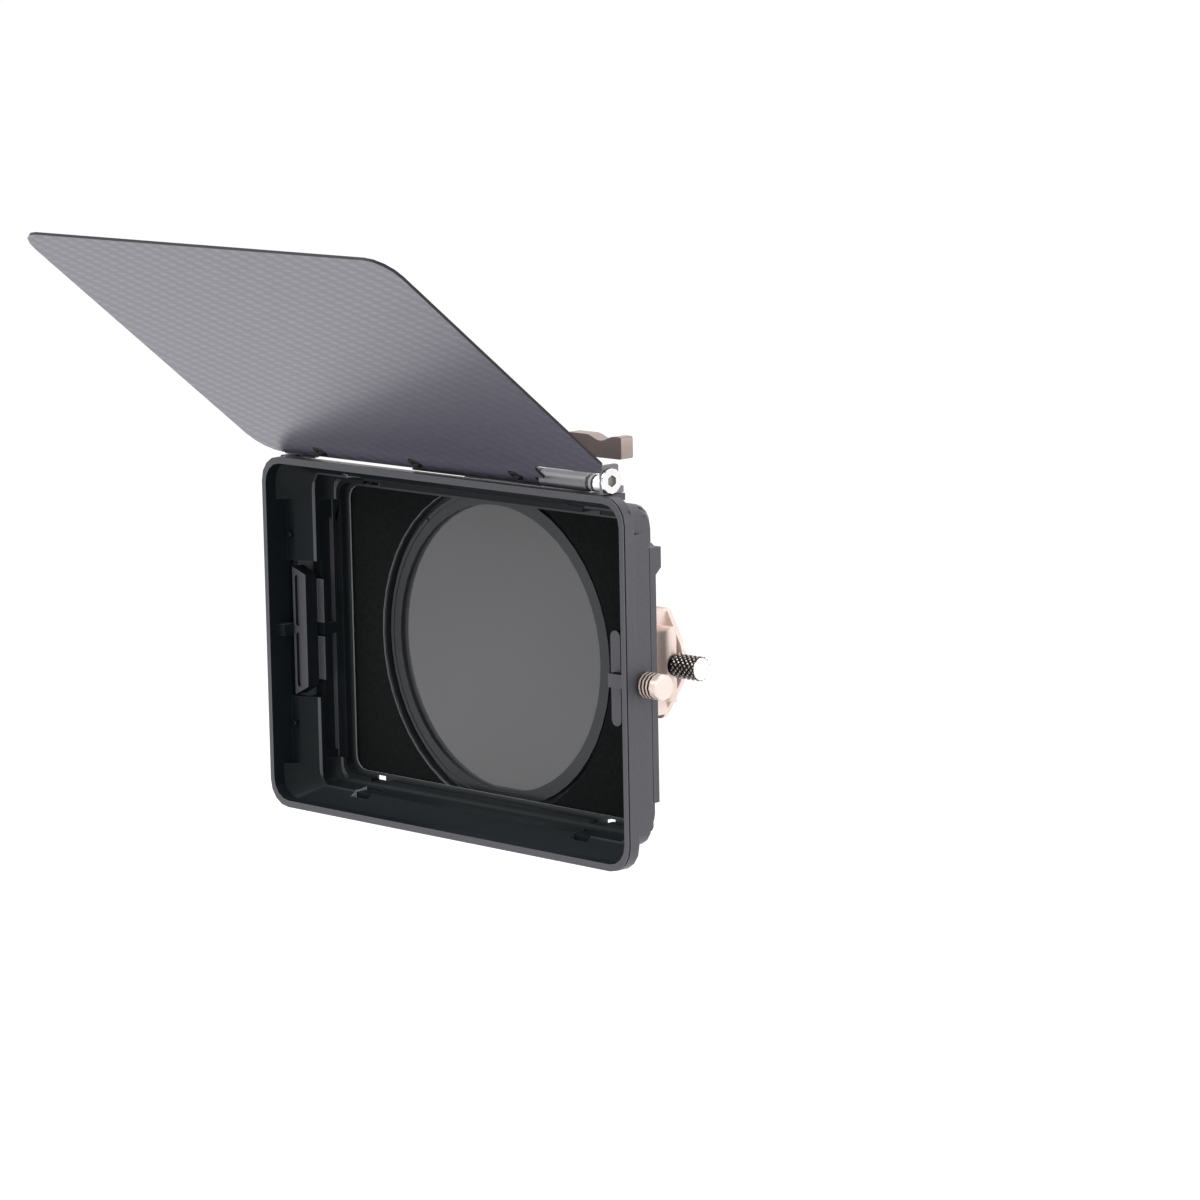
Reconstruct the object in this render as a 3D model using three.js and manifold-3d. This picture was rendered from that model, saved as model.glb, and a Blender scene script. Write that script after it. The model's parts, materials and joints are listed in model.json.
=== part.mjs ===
// Clamp-on matte box for a cinema lens, in millimetres.
// X runs across the hood, +Y runs back along the optical axis to the lens, +Z is up.
// The origin lies on the optical axis, in the plane of the lens clamp's rear face.
// Inside the assembly, Y is the depth behind the front rim: a last group moves it to the origin.
import * as THREE from 'three';
import { mergeVertices } from 'three/addons/utils/BufferGeometryUtils.js';
import Module from 'manifold-3d';

const wasm = await Module();
wasm.setup();

// Overall sizes
const overallDepth = 45;

// Filters that the box takes
const plateFilterWidth = 143.5;
const plateFilterHeight = 101.6;
const plateFilterThickness = 4;
const clearGlassDiameter = 94.4;
const lensFrontDiameter = 95;
const hoodSideMargin = 13.25;
const hoodTopMargin = 8.2;

// Clearances, and the overrun of a cut past the face that it opens
const seatGap = 0.3;
const slideGap = 0.4;
const boreGap = 0.3;
const overrun = 1.5;

// Facets of round stretches
const cornerSteps = 4;
const smallSides = 6;
const mediumSides = 12;
const largeSides = 48;

// Hood rim and flange
const hoodCornerRadius = 8.5;
const flangeDepth = 5.4;
const flangeBevel = 0.6;
const rimSideWall = 1.8;
const rimTopWall = 2.2;
const mouthCornerRadius = 7;
const rimGrooveStart = 0.4;
const rimGrooveWidth = 0.5;
const rimGrooveDeep = 0.45;

// Funnel, filter recess and throat
const mouthDepth = 4.5;
const recessStart = 11.8;
const ledgeSideWidth = 1.5;
const ledgeTopWidth = 0.6;
const recessSidePlay = 3.25;
const recessTopPlay = 1.6;
const recessCornerRadius = 5;
const stageDepth = 19;
const seatSideWidth = 3.35;
const seatTopWidth = 1.4;
const coveSideRun = 5.4;
const coveTopRun = 1.9;
const coveDeepRun = 6;
const coveSteps = 5;
const throatEnd = 22;
const shellWall = 1.8;
const shellRearSideMargin = 3.2;
const shellRearTopMargin = 2.3;
const reliefTopDrop = 9.1;
const reliefBottomDrop = 8.4;
const padSideInset = 1.2;
const padDeep = 0.8;

// Side blocks that hold the filter latches
const sideBlockInset = 0.1;
const sideBlockRear = 11.3;
const sideBlockTopDrop = 5.2;
const sideBlockBottomDrop = 5.6;
const sideBlockRound = 1.8;
const sideRibRear = 9.4;
const sideRibBaseDrop = 3.8;
const sideRibTopRise = 0.6;
const pocketWall = 1.8;
const pocketRear = 8.7;
const pocketTopDrop = 8.6;
const pocketBottomDrop = 6.7;
const chamberHalf = 23;
const chamberRear = 15;
const slotStart = 13.2;
const slotTopDrop = 15.4;
const slotBottomDrop = 10.9;
const slotReach = 1.4;
const slotWall = 1.1;
const centringRibStart = 13.7;
const centringRibReach = 1.6;
const guideRibHalf = 1.9;
const guideRibStart = 3.4;
const guideRibEnd = 7.6;
const guideRibLength = 3.4;

// Light-trap channels at the corners of the funnel
const channelInner = 47.6;
const channelOuter = 56;
const channelStart = 9.8;
const channelFloorRise = 2.9;
const channelStep = 12.5;
const channelShallowRise = 0.6;
const channelMouthRise = 1.2;
const channelRibWall = 1.3;

const halfWidth = plateFilterWidth / 2 + hoodSideMargin;
const halfHeight = plateFilterHeight / 2 + hoodTopMargin;
const mouthSide = halfWidth - rimSideWall;
const mouthTop = halfHeight - rimTopWall;
const recessSide = plateFilterWidth / 2 + recessSidePlay;
const recessTop = plateFilterHeight / 2 + recessTopPlay;
const throatSide = plateFilterWidth / 2 - seatSideWidth;
const throatTop = plateFilterHeight / 2 - seatTopWidth;
const blockOuter = halfWidth - sideBlockInset;
const shellRearSide = throatSide + shellRearSideMargin;
const shellRearTop = throatTop + shellRearTopMargin;
const reliefTop = recessTop - reliefTopDrop;
const reliefBottom = recessTop - reliefBottomDrop;
const sideBlockTop = recessTop - sideBlockTopDrop;
const sideBlockBottom = recessTop - sideBlockBottomDrop;
const sideRibBase = recessTop - sideRibBaseDrop;
const sideRibTop = recessTop + sideRibTopRise;
const slotTop = recessTop - slotTopDrop;
const slotBottom = recessTop - slotBottomDrop;
const channelFloor = recessTop + channelFloorRise;

// Solids from three.js geometry, and back again
function solid(geometry) {
  const bare = geometry.index ? geometry.toNonIndexed() : geometry.clone();
  bare.deleteAttribute('normal');
  bare.deleteAttribute('uv');
  const welded = mergeVertices(bare, 1e-4);
  return new wasm.Manifold(new wasm.Mesh({
    numProp: 3,
    vertProperties: new Float32Array(welded.attributes.position.array),
    triVerts: new Uint32Array(welded.index.array),
  }));
}

function geometryOf(body) {
  const mesh = body.getMesh();
  const geometry = new THREE.BufferGeometry();
  geometry.setAttribute('position', new THREE.BufferAttribute(new Float32Array(mesh.vertProperties), 3));
  geometry.setIndex(new THREE.BufferAttribute(new Uint32Array(mesh.triVerts), 1));
  const flat = geometry.toNonIndexed();
  flat.computeVertexNormals();
  return flat;
}

function join(...bodies) {
  return bodies.reduce((sum, body) => sum.add(body));
}

function cut(body, ...tools) {
  return tools.reduce((rest, tool) => rest.subtract(tool), body);
}

// Extrusions along each axis: the outline is (x, z) along Y, (y, z) along X and (x, y) along Z
const alongYBasis = new THREE.Matrix4().makeBasis(
  new THREE.Vector3(1, 0, 0), new THREE.Vector3(0, 0, 1), new THREE.Vector3(0, -1, 0));
const alongXBasis = new THREE.Matrix4().makeBasis(
  new THREE.Vector3(0, 1, 0), new THREE.Vector3(0, 0, 1), new THREE.Vector3(1, 0, 0));

function extrude(shape, length) {
  return new THREE.ExtrudeGeometry(shape, { depth: length, bevelEnabled: false, curveSegments: cornerSteps });
}

function alongY(shape, start, end) {
  return solid(extrude(shape, end - start).applyMatrix4(alongYBasis).translate(0, end, 0));
}

function alongX(shape, start, end) {
  return solid(extrude(shape, end - start).applyMatrix4(alongXBasis).translate(start, 0, 0));
}

function alongZ(shape, start, end) {
  return solid(extrude(shape, end - start).translate(0, 0, start));
}

function box(x0, x1, y0, y1, z0, z1) {
  const geometry = new THREE.BoxGeometry(x1 - x0, y1 - y0, z1 - z0);
  return solid(geometry.translate((x0 + x1) / 2, (y0 + y1) / 2, (z0 + z1) / 2));
}

// An outline of [x, y, radius] corners, each rounded by an arc where it has a radius
function outline(corners, steps = cornerSteps) {
  const shape = new THREE.Shape();
  corners.forEach(([x, y, radius = 0], index) => {
    const count = corners.length;
    const before = corners[(index + count - 1) % count];
    const after = corners[(index + 1) % count];
    const here = new THREE.Vector2(x, y);
    const points = [];
    if (radius > 0) {
      const back = new THREE.Vector2(before[0] - x, before[1] - y).normalize();
      const ahead = new THREE.Vector2(after[0] - x, after[1] - y).normalize();
      const halfAngle = Math.acos(THREE.MathUtils.clamp(back.dot(ahead), -1, 1)) / 2;
      const middle = back.clone().add(ahead).normalize();
      const centre = here.clone().addScaledVector(middle, radius / Math.sin(halfAngle));
      const first = here.clone().addScaledVector(back, radius / Math.tan(halfAngle)).sub(centre);
      const last = here.clone().addScaledVector(ahead, radius / Math.tan(halfAngle)).sub(centre);
      let sweep = last.angle() - first.angle();
      sweep -= Math.round(sweep / (2 * Math.PI)) * 2 * Math.PI;
      for (let step = 0; step <= steps; step += 1) {
        points.push(first.clone().rotateAround(new THREE.Vector2(), sweep * step / steps).add(centre));
      }
    } else {
      points.push(here);
    }
    points.forEach((point) => {
      if (shape.curves.length === 0 && shape.currentPoint.lengthSq() === 0) {
        shape.moveTo(point.x, point.y);
      } else {
        shape.lineTo(point.x, point.y);
      }
    });
  });
  return shape;
}

function roundRect(x0, x1, y0, y1, radius) {
  return outline([[x0, y0, radius], [x1, y0, radius], [x1, y1, radius], [x0, y1, radius]]);
}

// A solid through rounded rectangles: each section is [depth, half width, half height, radius]
function loft(sections) {
  const rings = sections.map(([depth, halfX, halfZ, radius]) => {
    const ring = [];
    const quarters = [[1, 1], [-1, 1], [-1, -1], [1, -1]];
    quarters.forEach(([signX, signZ], quarter) => {
      for (let step = 0; step <= cornerSteps; step += 1) {
        const angle = (quarter + step / cornerSteps) * Math.PI / 2;
        ring.push([
          signX * (halfX - radius) + radius * Math.cos(angle), depth,
          signZ * (halfZ - radius) + radius * Math.sin(angle)]);
      }
    });
    return ring;
  });
  const count = rings[0].length;
  const index = [];
  for (let ring = 0; ring + 1 < rings.length; ring += 1) {
    for (let point = 0; point < count; point += 1) {
      const next = (point + 1) % count;
      const front = ring * count;
      const rear = front + count;
      index.push(front + point, rear + point, rear + next, front + point, rear + next, front + next);
    }
  }
  const lastRing = (rings.length - 1) * count;
  for (let point = 1; point + 1 < count; point += 1) {
    index.push(0, point, point + 1, lastRing, lastRing + point + 1, lastRing + point);
  }
  const geometry = new THREE.BufferGeometry();
  geometry.setAttribute('position', new THREE.Float32BufferAttribute(rings.flat(2), 3));
  geometry.setIndex(index);
  return solid(geometry);
}

// Revolved solids: a closed profile of [radius, distance along the axis], outer side first
function revolveY(profile, sides) {
  const points = profile.map(([radius, depth]) => new THREE.Vector2(radius, depth));
  if (profile.every(([radius]) => radius > 0)) {
    points.push(points[0].clone());
  }
  return solid(new THREE.LatheGeometry(points, sides));
}

function revolveX(profile, sides) {
  return revolveY(profile, sides).rotate([0, 0, -90]).mirror([0, 1, 0]);
}

function discY(radius, start, end, x, z, sides) {
  const geometry = new THREE.CylinderGeometry(radius, radius, end - start, sides);
  return solid(geometry.translate(x, (start + end) / 2, z));
}

function rodX(radius, start, end, y, z, sides) {
  const geometry = new THREE.CylinderGeometry(radius, radius, end - start, sides).rotateZ(Math.PI / 2);
  return solid(geometry.translate((start + end) / 2, y, z));
}

function rodZ(radius, start, end, x, y, sides) {
  const geometry = new THREE.CylinderGeometry(radius, radius, end - start, sides).rotateX(Math.PI / 2);
  return solid(geometry.translate(x, y, (start + end) / 2));
}

// Mirrored copies
const mirrorX = (body) => body.mirror([1, 0, 0]);
const mirrorZ = (body) => body.mirror([0, 0, 1]);
const bothSides = (body) => join(body, mirrorX(body));
const allCorners = (body) => join(bothSides(body), mirrorZ(bothSides(body)));
const sideCopies = (body) => [body, mirrorX(body)];
const cornerCopies = (body) => [...sideCopies(body), ...sideCopies(mirrorZ(body))];

// Materials
function finish(color, roughness, metalness) {
  return { color, roughness, metalness };
}
const mouldedBlack = finish(0x1d1e20, 0.55, 0);
const anodisedBlack = finish(0x17181a, 0.45, 0.6);
const flockedBlack = finish(0x0b0b0c, 1, 0);
const carbonFibre = finish(0x3a3b40, 0.5, 0.2);
const champagne = finish(0xcbb4a3, 0.35, 0.9);
const bronze = finish(0x6f6058, 0.4, 0.8);
const gunmetal = finish(0x6b6b70, 0.35, 0.9);
const silver = finish(0xd6d6d8, 0.25, 1);
const springSteel = finish(0xa9abad, 0.3, 1);
const smokedGlass = finish(0x6a6a6d, 0.08, 0);
const rubberBlack = finish(0x101010, 0.9, 0);

const assembly = new THREE.Group();
const flagGroup = new THREE.Group();

function piece(name, body, look, parent = assembly) {
  const mesh = new THREE.Mesh(geometryOf(body), new THREE.MeshStandardMaterial(look));
  mesh.name = name;
  parent.add(mesh);
}

function pieces(name, bodies, look, parent = assembly) {
  bodies.forEach((body, index) => piece(`${name}_${index + 1}`, body, look, parent));
}

// Hood: a flange with a grooved rim, a funnel, and a recess that seats a plate filter
const coveStart = stageDepth - coveDeepRun;

function flange() {
  const grooveSide = halfWidth - rimGrooveDeep;
  const grooveTop = halfHeight - rimGrooveDeep;
  const grooveRadius = hoodCornerRadius - rimGrooveDeep;
  const grooveEnd = rimGrooveStart + rimGrooveWidth;
  return loft([
    [0, halfWidth, halfHeight, hoodCornerRadius],
    [rimGrooveStart, halfWidth, halfHeight, hoodCornerRadius],
    [rimGrooveStart, grooveSide, grooveTop, grooveRadius],
    [grooveEnd, grooveSide, grooveTop, grooveRadius],
    [grooveEnd, halfWidth, halfHeight, hoodCornerRadius],
    [flangeDepth - flangeBevel, halfWidth, halfHeight, hoodCornerRadius],
    [flangeDepth, halfWidth - flangeBevel, halfHeight - flangeBevel, hoodCornerRadius - flangeBevel],
  ]);
}

function funnelShell(offset) {
  const side = recessSide + shellWall + offset;
  const top = recessTop + shellWall + offset;
  const startSide = mouthSide + shellWall * 2 / 3 + offset;
  const startTop = mouthTop + shellWall * 2 / 3 + offset;
  const kneeDepth = recessStart + shellWall * 2 / 3;
  const coveDepth = stageDepth - shellWall / 3;
  const rearKnee = stageDepth + shellWall;
  const rearShoulder = (side + shellRearSide) / 2;
  return loft([
    [flangeDepth - flangeBevel - overrun, startSide, startTop, hoodCornerRadius],
    [flangeDepth, startSide, startTop, hoodCornerRadius],
    [kneeDepth, side, top, recessCornerRadius + shellWall],
    [coveDepth, side - offset / 2, top - offset / 2, recessCornerRadius + shellWall],
    [rearKnee, rearShoulder + offset, shellRearTop + offset, recessCornerRadius + shellWall],
    [throatEnd, shellRearSide + offset, shellRearTop + offset, recessCornerRadius + shellWall],
  ]);
}

function hoodCavity() {
  const cove = [];
  for (let step = 0; step <= coveSteps; step += 1) {
    const angle = step / coveSteps * Math.PI / 2;
    cove.push([
      coveStart + coveDeepRun * Math.sin(angle),
      recessSide - coveSideRun * (1 - Math.cos(angle)),
      recessTop - coveTopRun * (1 - Math.cos(angle)),
      recessCornerRadius]);
  }
  return loft([
    [-overrun, mouthSide, mouthTop, mouthCornerRadius],
    [mouthDepth, mouthSide, mouthTop, mouthCornerRadius],
    [recessStart, recessSide + ledgeSideWidth, recessTop + ledgeTopWidth, recessCornerRadius + ledgeTopWidth],
    [recessStart, recessSide, recessTop, recessCornerRadius],
    ...cove,
    [stageDepth, throatSide, throatTop, recessCornerRadius],
    [throatEnd + overrun, throatSide, throatTop, recessCornerRadius],
  ]);
}

// Release pin, on the right at mid-height
const pinDepth = 8.5;
const pinRadius = 1.5;

// Seat of the two hinge brackets on the hood's top edge
const bracketPadRear = 10.6;
const rightBracketInset = 9.4;
const leftBracketInset = 5.4;
const rightPadWidth = 9.1;
const leftPadWidth = 9.6;
const rightBracketOuter = halfWidth - rightBracketInset;
const leftBracketOuter = halfWidth - leftBracketInset;

// Screws that hold the rear housing to the hood
const stageScrewZ = 36;
const stageEarRadius = 2.4;
const stageScrewRadius = 0.9;

function hoodFrame() {
  const blockBase = recessSide + shellWall / 3;
  const blockSide = outline([
    [flangeDepth - overrun, -sideBlockBottom], [sideBlockRear, -sideBlockBottom, sideBlockRound],
    [sideBlockRear, sideBlockTop, sideBlockRound], [flangeDepth - overrun, sideBlockTop]]);
  const ribSide = outline([
    [flangeDepth - overrun, sideRibBase], [sideRibRear, sideRibBase],
    [sideRibRear, sideRibTop - sideBlockRound], [flangeDepth - overrun, sideRibTop + sideBlockRound]]);
  const ribOuter = blockOuter - rimGrooveDeep;
  const channelRib = box(
    channelInner - channelRibWall, channelOuter + channelRibWall,
    flangeDepth - overrun, channelStep + channelRibWall, throatTop, channelFloor + channelRibWall);
  const rightPad = box(
    rightBracketOuter - rightPadWidth, rightBracketOuter, flangeDepth - overrun, bracketPadRear,
    mouthTop, halfHeight);
  const leftPad = box(
    -leftBracketOuter, leftPadWidth - leftBracketOuter, flangeDepth - overrun, bracketPadRear,
    mouthTop, halfHeight);
  const ears = allCorners(discY(
    stageEarRadius, stageDepth + padDeep, throatEnd, stageScrewX, stageScrewZ, mediumSides));
  const outside = join(
    flange(), funnelShell(0), bothSides(alongX(blockSide, blockBase, blockOuter)),
    bothSides(alongX(ribSide, blockBase, ribOuter)), allCorners(channelRib), rightPad, leftPad, ears,
    slotBack(0));

  const pocket = box(
    recessSide, halfWidth - pocketWall, mouthDepth - overrun, pocketRear,
    pocketBottomDrop - recessTop, recessTop - pocketTopDrop);
  const chamber = box(
    throatSide + seatSideWidth, halfWidth - pocketWall, pocketRear - overrun, chamberRear,
    -chamberHalf, chamberHalf);
  const slot = box(
    -recessSide - slotReach, overrun - recessSide, slotStart, stageDepth, -slotBottom, slotTop);
  const relief = join(
    box(throatSide - overrun, recessSide, coveStart, stageDepth, -reliefBottom, reliefTop),
    box(throatSide - overrun, recessSide - padSideInset, stageDepth - overrun, stageDepth + padDeep,
      -reliefBottom, reliefTop));
  const channel = join(
    box(channelInner, channelOuter, channelStart, channelStep, throatTop - overrun, channelFloor),
    box(channelInner, channelOuter, channelStart, stageDepth - shellWall,
      throatTop - overrun, recessTop + channelShallowRise),
    box(channelInner, channelOuter, channelStart, throatEnd + overrun,
      throatTop - overrun, throatTop + channelMouthRise));
  const guideRib = box(
    halfWidth - pocketWall - guideRibLength, halfWidth - pocketWall + seatGap,
    guideRibStart, guideRibEnd, -guideRibHalf, guideRibHalf);
  const centringRib = box(
    -recessSide - slotReach - seatGap, centringRibReach - recessSide,
    centringRibStart, stageDepth + slotWall / 2, -guideRibHalf, guideRibHalf);
  const hollow = cut(
    outside, hoodCavity(), bothSides(pocket), bothSides(chamber), slot, bothSides(relief),
    allCorners(channel));
  const pinHole = rodX(
    pinRadius + boreGap, halfWidth - pocketWall - overrun, halfWidth + overrun, pinDepth, 0, mediumSides);
  const earHoles = allCorners(discY(
    stageScrewRadius + boreGap, stageDepth, throatEnd + overrun, stageScrewX, stageScrewZ, smallSides));
  return cut(
    join(hollow, mirrorX(guideRib), centringRib), pinHole, earHoles, coverScrewHoles(), hingeScrewHoles());
}

function slotBack(offset) {
  return box(
    -recessSide - slotReach - slotWall - offset, -recessSide, slotStart - slotWall - offset,
    stageDepth + slotWall / 2 + offset, -slotBottom - slotWall - offset, slotTop + slotWall + offset);
}

// Side covers: shells that close the latch chambers from behind
const coverStart = sideBlockRear + seatGap;
const coverFlatEnd = 14.1;
const coverRearMargin = 2.6;
const coverTopDrop = 4.8;
const coverBottomDrop = 8.8;
const coverRear = 19.9;
const coverRearX = recessSide + coverRearMargin;
const coverInnerX = recessSide - shellWall;
const coverTop = sideBlockTop - coverTopDrop;
const coverBottom = sideBlockBottom - coverBottomDrop;
const coverRound = 1.6;
const coverWall = 1.5;
const coverCavityHalf = 27;
const padRear = 16.5;
const padHeight = 8.7;
const padBevel = 2.2;
const padDepthX = 4.9;
const coverScrewInset = 4.2;
const coverScrewHighShare = 0.75;
const coverScrewLowShare = 0.84;
const coverScrewRadius = 0.9;
const coverHeadRadius = 1.9;
const coverHeadHeight = 1.3;
const coverHeadSeat = 13.6;
const coverScrewTip = 7.2;

const coverScrewX = blockOuter - coverScrewInset;
const coverScrewHeights = [coverTop * coverScrewHighShare, -coverBottom * coverScrewLowShare];

function coverScrewHoles() {
  const holes = coverScrewHeights.map((z) => discY(
    coverScrewRadius + boreGap, coverScrewTip - boreGap, coverStart, coverScrewX, z, smallSides));
  return bothSides(join(...holes));
}

function sideCover(...spaces) {
  const plan = outline([
    [coverInnerX, coverStart], [blockOuter, coverStart], [blockOuter, coverFlatEnd],
    [coverRearX, coverRear], [coverInnerX, coverRear]]);
  const side = outline([
    [coverStart - overrun, -coverBottom], [coverFlatEnd, -coverBottom, coverRound],
    [coverRear + overrun, -coverBottom + coverRear - coverFlatEnd], [coverRear + overrun, coverTop],
    [coverStart - overrun, coverTop]]);
  const padBase = coverTop - padHeight;
  const pad = outline([
    [coverStart, padBase], [coverFlatEnd, padBase], [padRear, padBase + padBevel], [padRear, coverTop],
    [coverStart, coverTop]]);
  const shell = alongZ(plan, -coverBottom, coverTop).intersect(alongX(side, coverInnerX, halfWidth));
  const cavity = alongZ(outline([
    [coverInnerX, coverStart - overrun], [blockOuter - coverWall, coverStart - overrun],
    [blockOuter - coverWall, coverFlatEnd - coverWall / 2], [coverRearX, coverRear - coverWall],
    [coverInnerX, coverRear - coverWall]]), -coverCavityHalf, coverCavityHalf);
  const screws = coverScrewHeights.map((z) => join(
    discY(coverScrewRadius + boreGap, coverStart - overrun, coverRear, coverScrewX, z, smallSides),
    discY(coverHeadRadius + boreGap, coverHeadSeat, coverRear + overrun, coverScrewX, z, mediumSides)));
  return cut(
    join(shell, alongX(pad, blockOuter - padDepthX, blockOuter)), funnelShell(seatGap), cavity, ...screws,
    ...spaces);
}

function socketScrewY(x, z, seat, tip, shankRadius, headRadius, headHeight) {
  const head = cut(
    discY(headRadius, seat + seatGap, seat + seatGap + headHeight, x, z, mediumSides),
    discY(headRadius / 2, seat + seatGap + headHeight / 2, seat + seatGap + headHeight + overrun, x, z, 6));
  return join(head, discY(shankRadius, tip, seat + seatGap + headHeight / 3, x, z, smallSides));
}

function coverScrews() {
  return coverScrewHeights.flatMap((z) => sideCopies(socketScrewY(
    coverScrewX, z, coverHeadSeat, coverScrewTip, coverScrewRadius, coverHeadRadius, coverHeadHeight)));
}

// Mask plate behind the throat, with a bright window edge and four small vents
const plateStart = throatEnd + seatGap;
const plateThickness = 1.1;
const plateEnd = plateStart + plateThickness;
const plateInset = 1;
const windowSideInset = 1;
const windowTopInset = 1.3;
const windowSide = throatSide - windowSideInset;
const windowTop = throatTop - windowTopInset;
const windowRadius = 4.8;
const ventOffset = 0.7;
const ventHeight = 1.7;
const ventWidth = 4.4;
const ventX = 54.4;

function maskPlate() {
  const body = join(
    alongY(roundRect(
      -shellRearSide + plateInset, shellRearSide - plateInset, -shellRearTop + seatGap,
      shellRearTop - seatGap, recessCornerRadius + plateInset), plateStart, plateEnd),
    allCorners(discY(stageEarRadius, plateStart, plateEnd, stageScrewX, stageScrewZ, mediumSides)));
  const window = alongY(roundRect(
    -windowSide, windowSide, -windowTop, windowTop, windowRadius), plateStart - overrun, plateEnd + overrun);
  const vent = box(
    ventX - ventWidth / 2, ventX + ventWidth / 2, plateStart - overrun, plateEnd + overrun,
    windowTop + ventOffset, windowTop + ventOffset + ventHeight);
  const holes = allCorners(discY(
    stageScrewRadius + boreGap, plateStart - overrun, plateEnd + overrun, stageScrewX, stageScrewZ, smallSides));
  return cut(body, window, allCorners(vent), holes);
}

// Filter tray: a flocked board whose edges run as tongues, on a narrower frame
const boardStart = 24.3;
const boardThickness = 0.8;
const boardSideMargin = 0.2;
const tongueWidth = 3.1;
const trayTopDrop = 3.7;
const trayBottomDrop = 5.4;
const trayCorner = 2;
const trayRimWall = 1.5;
const trayLipStart = 28.2;
const trayLipThickness = 1.3;
const trayAxisDrop = 0.4;
const ringFlangeWidth = 4.5;
const ringPlay = 2.2;
const clearGlassRadius = clearGlassDiameter / 2;
const ringFlangeRadius = clearGlassRadius + ringFlangeWidth;
const trayHoleRadius = ringFlangeRadius + ringPlay;
const trayRear = trayLipStart + trayLipThickness;
const trayTop = trayHoleRadius - trayTopDrop;
const trayBottom = trayHoleRadius - trayBottomDrop;
const boardHalf = throatSide + boardSideMargin;
const frameHalf = boardHalf - tongueWidth;
const boardEnd = boardStart + boardThickness;
const frameStart = boardEnd + seatGap;
const traySwell = trayHoleRadius + trayRimWall;

function trayOutline(half, start, end) {
  return join(
    alongY(roundRect(-half, half, -trayBottom, trayTop, trayCorner), start, end),
    discY(traySwell, start, end, 0, -trayAxisDrop, largeSides));
}

function trayBoard() {
  return cut(
    trayOutline(boardHalf, boardStart, boardEnd),
    discY(trayHoleRadius, boardStart - overrun, boardEnd + overrun, 0, -trayAxisDrop, largeSides));
}

// Filter rings: a base ring in the tray, and a turning ring that holds the glass
const turningFlangeSet = 0.5;
const turningFlangeThickness = 0.7;
const turningFlangeStart = frameStart + turningFlangeSet;
const turningFlangeEnd = turningFlangeStart + turningFlangeThickness;
const turningStepWidth = 1.2;
const turningStepRadius = ringFlangeRadius - turningStepWidth;
const turningStepDeep = 0.3;
const baseFlangeStart = turningFlangeEnd + seatGap;
const baseFlangeEnd = trayLipStart - seatGap;
const baseBodyInset = 1.4;
const baseBodyRadius = ringFlangeRadius - baseBodyInset;
const sleeveMargin = 1.4;
const sleeveRadius = clearGlassRadius + sleeveMargin;
const sleeveWall = 0.5;
const glassStart = 27.9;
const glassThickness = 1.1;
const retainerWidth = 1.2;
const retainerThickness = 0.4;
const markAngle = 129;
const markWidth = 0.9;
const glassRadius = sleeveRadius - sleeveWall - boreGap;

function trayFrame() {
  const handleHoles = handleScrewXs.map((x) => rodZ(
    handleScrewRadius + boreGap, trayTop - handleScrewLength, trayTop + overrun, x, handleDepth, smallSides));
  return cut(
    trayOutline(frameHalf, frameStart, trayRear),
    discY(trayHoleRadius, frameStart - overrun, trayLipStart, 0, -trayAxisDrop, largeSides),
    discY(baseBodyRadius + boreGap, trayLipStart - overrun, trayRear + overrun, 0, -trayAxisDrop, largeSides),
    ...handleHoles);
}

function baseRing() {
  const bore = sleeveRadius + boreGap;
  return revolveY([
    [bore, baseFlangeStart], [ringFlangeRadius, baseFlangeStart], [ringFlangeRadius, baseFlangeEnd],
    [baseBodyRadius, baseFlangeEnd], [baseBodyRadius, trayRear], [bore, trayRear]], largeSides)
    .translate([0, 0, -trayAxisDrop]);
}

function turningRing() {
  const seat = glassStart - seatGap;
  const stepEnd = turningFlangeStart + turningStepDeep;
  const ring = revolveY([
    [clearGlassRadius, stepEnd], [turningStepRadius, stepEnd], [turningStepRadius, turningFlangeStart],
    [ringFlangeRadius, turningFlangeStart], [ringFlangeRadius, turningFlangeEnd],
    [sleeveRadius, turningFlangeEnd], [sleeveRadius, trayRear], [sleeveRadius - sleeveWall, trayRear],
    [sleeveRadius - sleeveWall, seat], [clearGlassRadius, seat]], largeSides);
  const mark = box(
    turningStepRadius - markWidth, ringFlangeRadius + overrun, turningFlangeStart - overrun,
    turningFlangeEnd - turningStepDeep, -markWidth / 2, markWidth / 2).rotate([0, -markAngle, 0]);
  return cut(ring, mark).translate([0, 0, -trayAxisDrop]);
}

function filterGlass() {
  return discY(glassRadius, glassStart, glassStart + glassThickness, 0, -trayAxisDrop, largeSides);
}

function glassRetainer() {
  const start = glassStart + glassThickness + seatGap / 2;
  return revolveY([
    [glassRadius - retainerWidth, start], [glassRadius, start], [glassRadius, start + retainerThickness],
    [glassRadius - retainerWidth, start + retainerThickness]], largeSides).translate([0, 0, -trayAxisDrop]);
}

// Tray handle: a thumb grip with a dipped top, on a neck and a foot
const handleDepth = 28;
const handleHalfThick = 1.9;
const gripHalfThick = 2.6;
const gripLeft = 34.5;
const gripRight = 59.2;
const gripRise = 16.1;
const gripHeight = 7.1;
const gripBottom = trayTop + gripRise;
const gripTop = gripBottom + gripHeight;
const gripDip = 1.7;
const gripDipStart = 43.5;
const gripDipEnd = 56.1;
const gripDipSteps = 10;
const gripRound = 0.8;
const neckLeft = 36.5;
const neckRight = 43.5;
const footLeft = 30;
const footRight = 50;
const footHeight = 2;
const neckFillet = 2.5;
const handleScrewRadius = 0.8;
const handleScrewLength = 5;
const handleHeadRadius = 1.4;
const handleHeadHeight = 1.1;
const handleScrewInset = 2.6;
const handleScrewXs = [footLeft + handleScrewInset, footRight - handleScrewInset];

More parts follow.
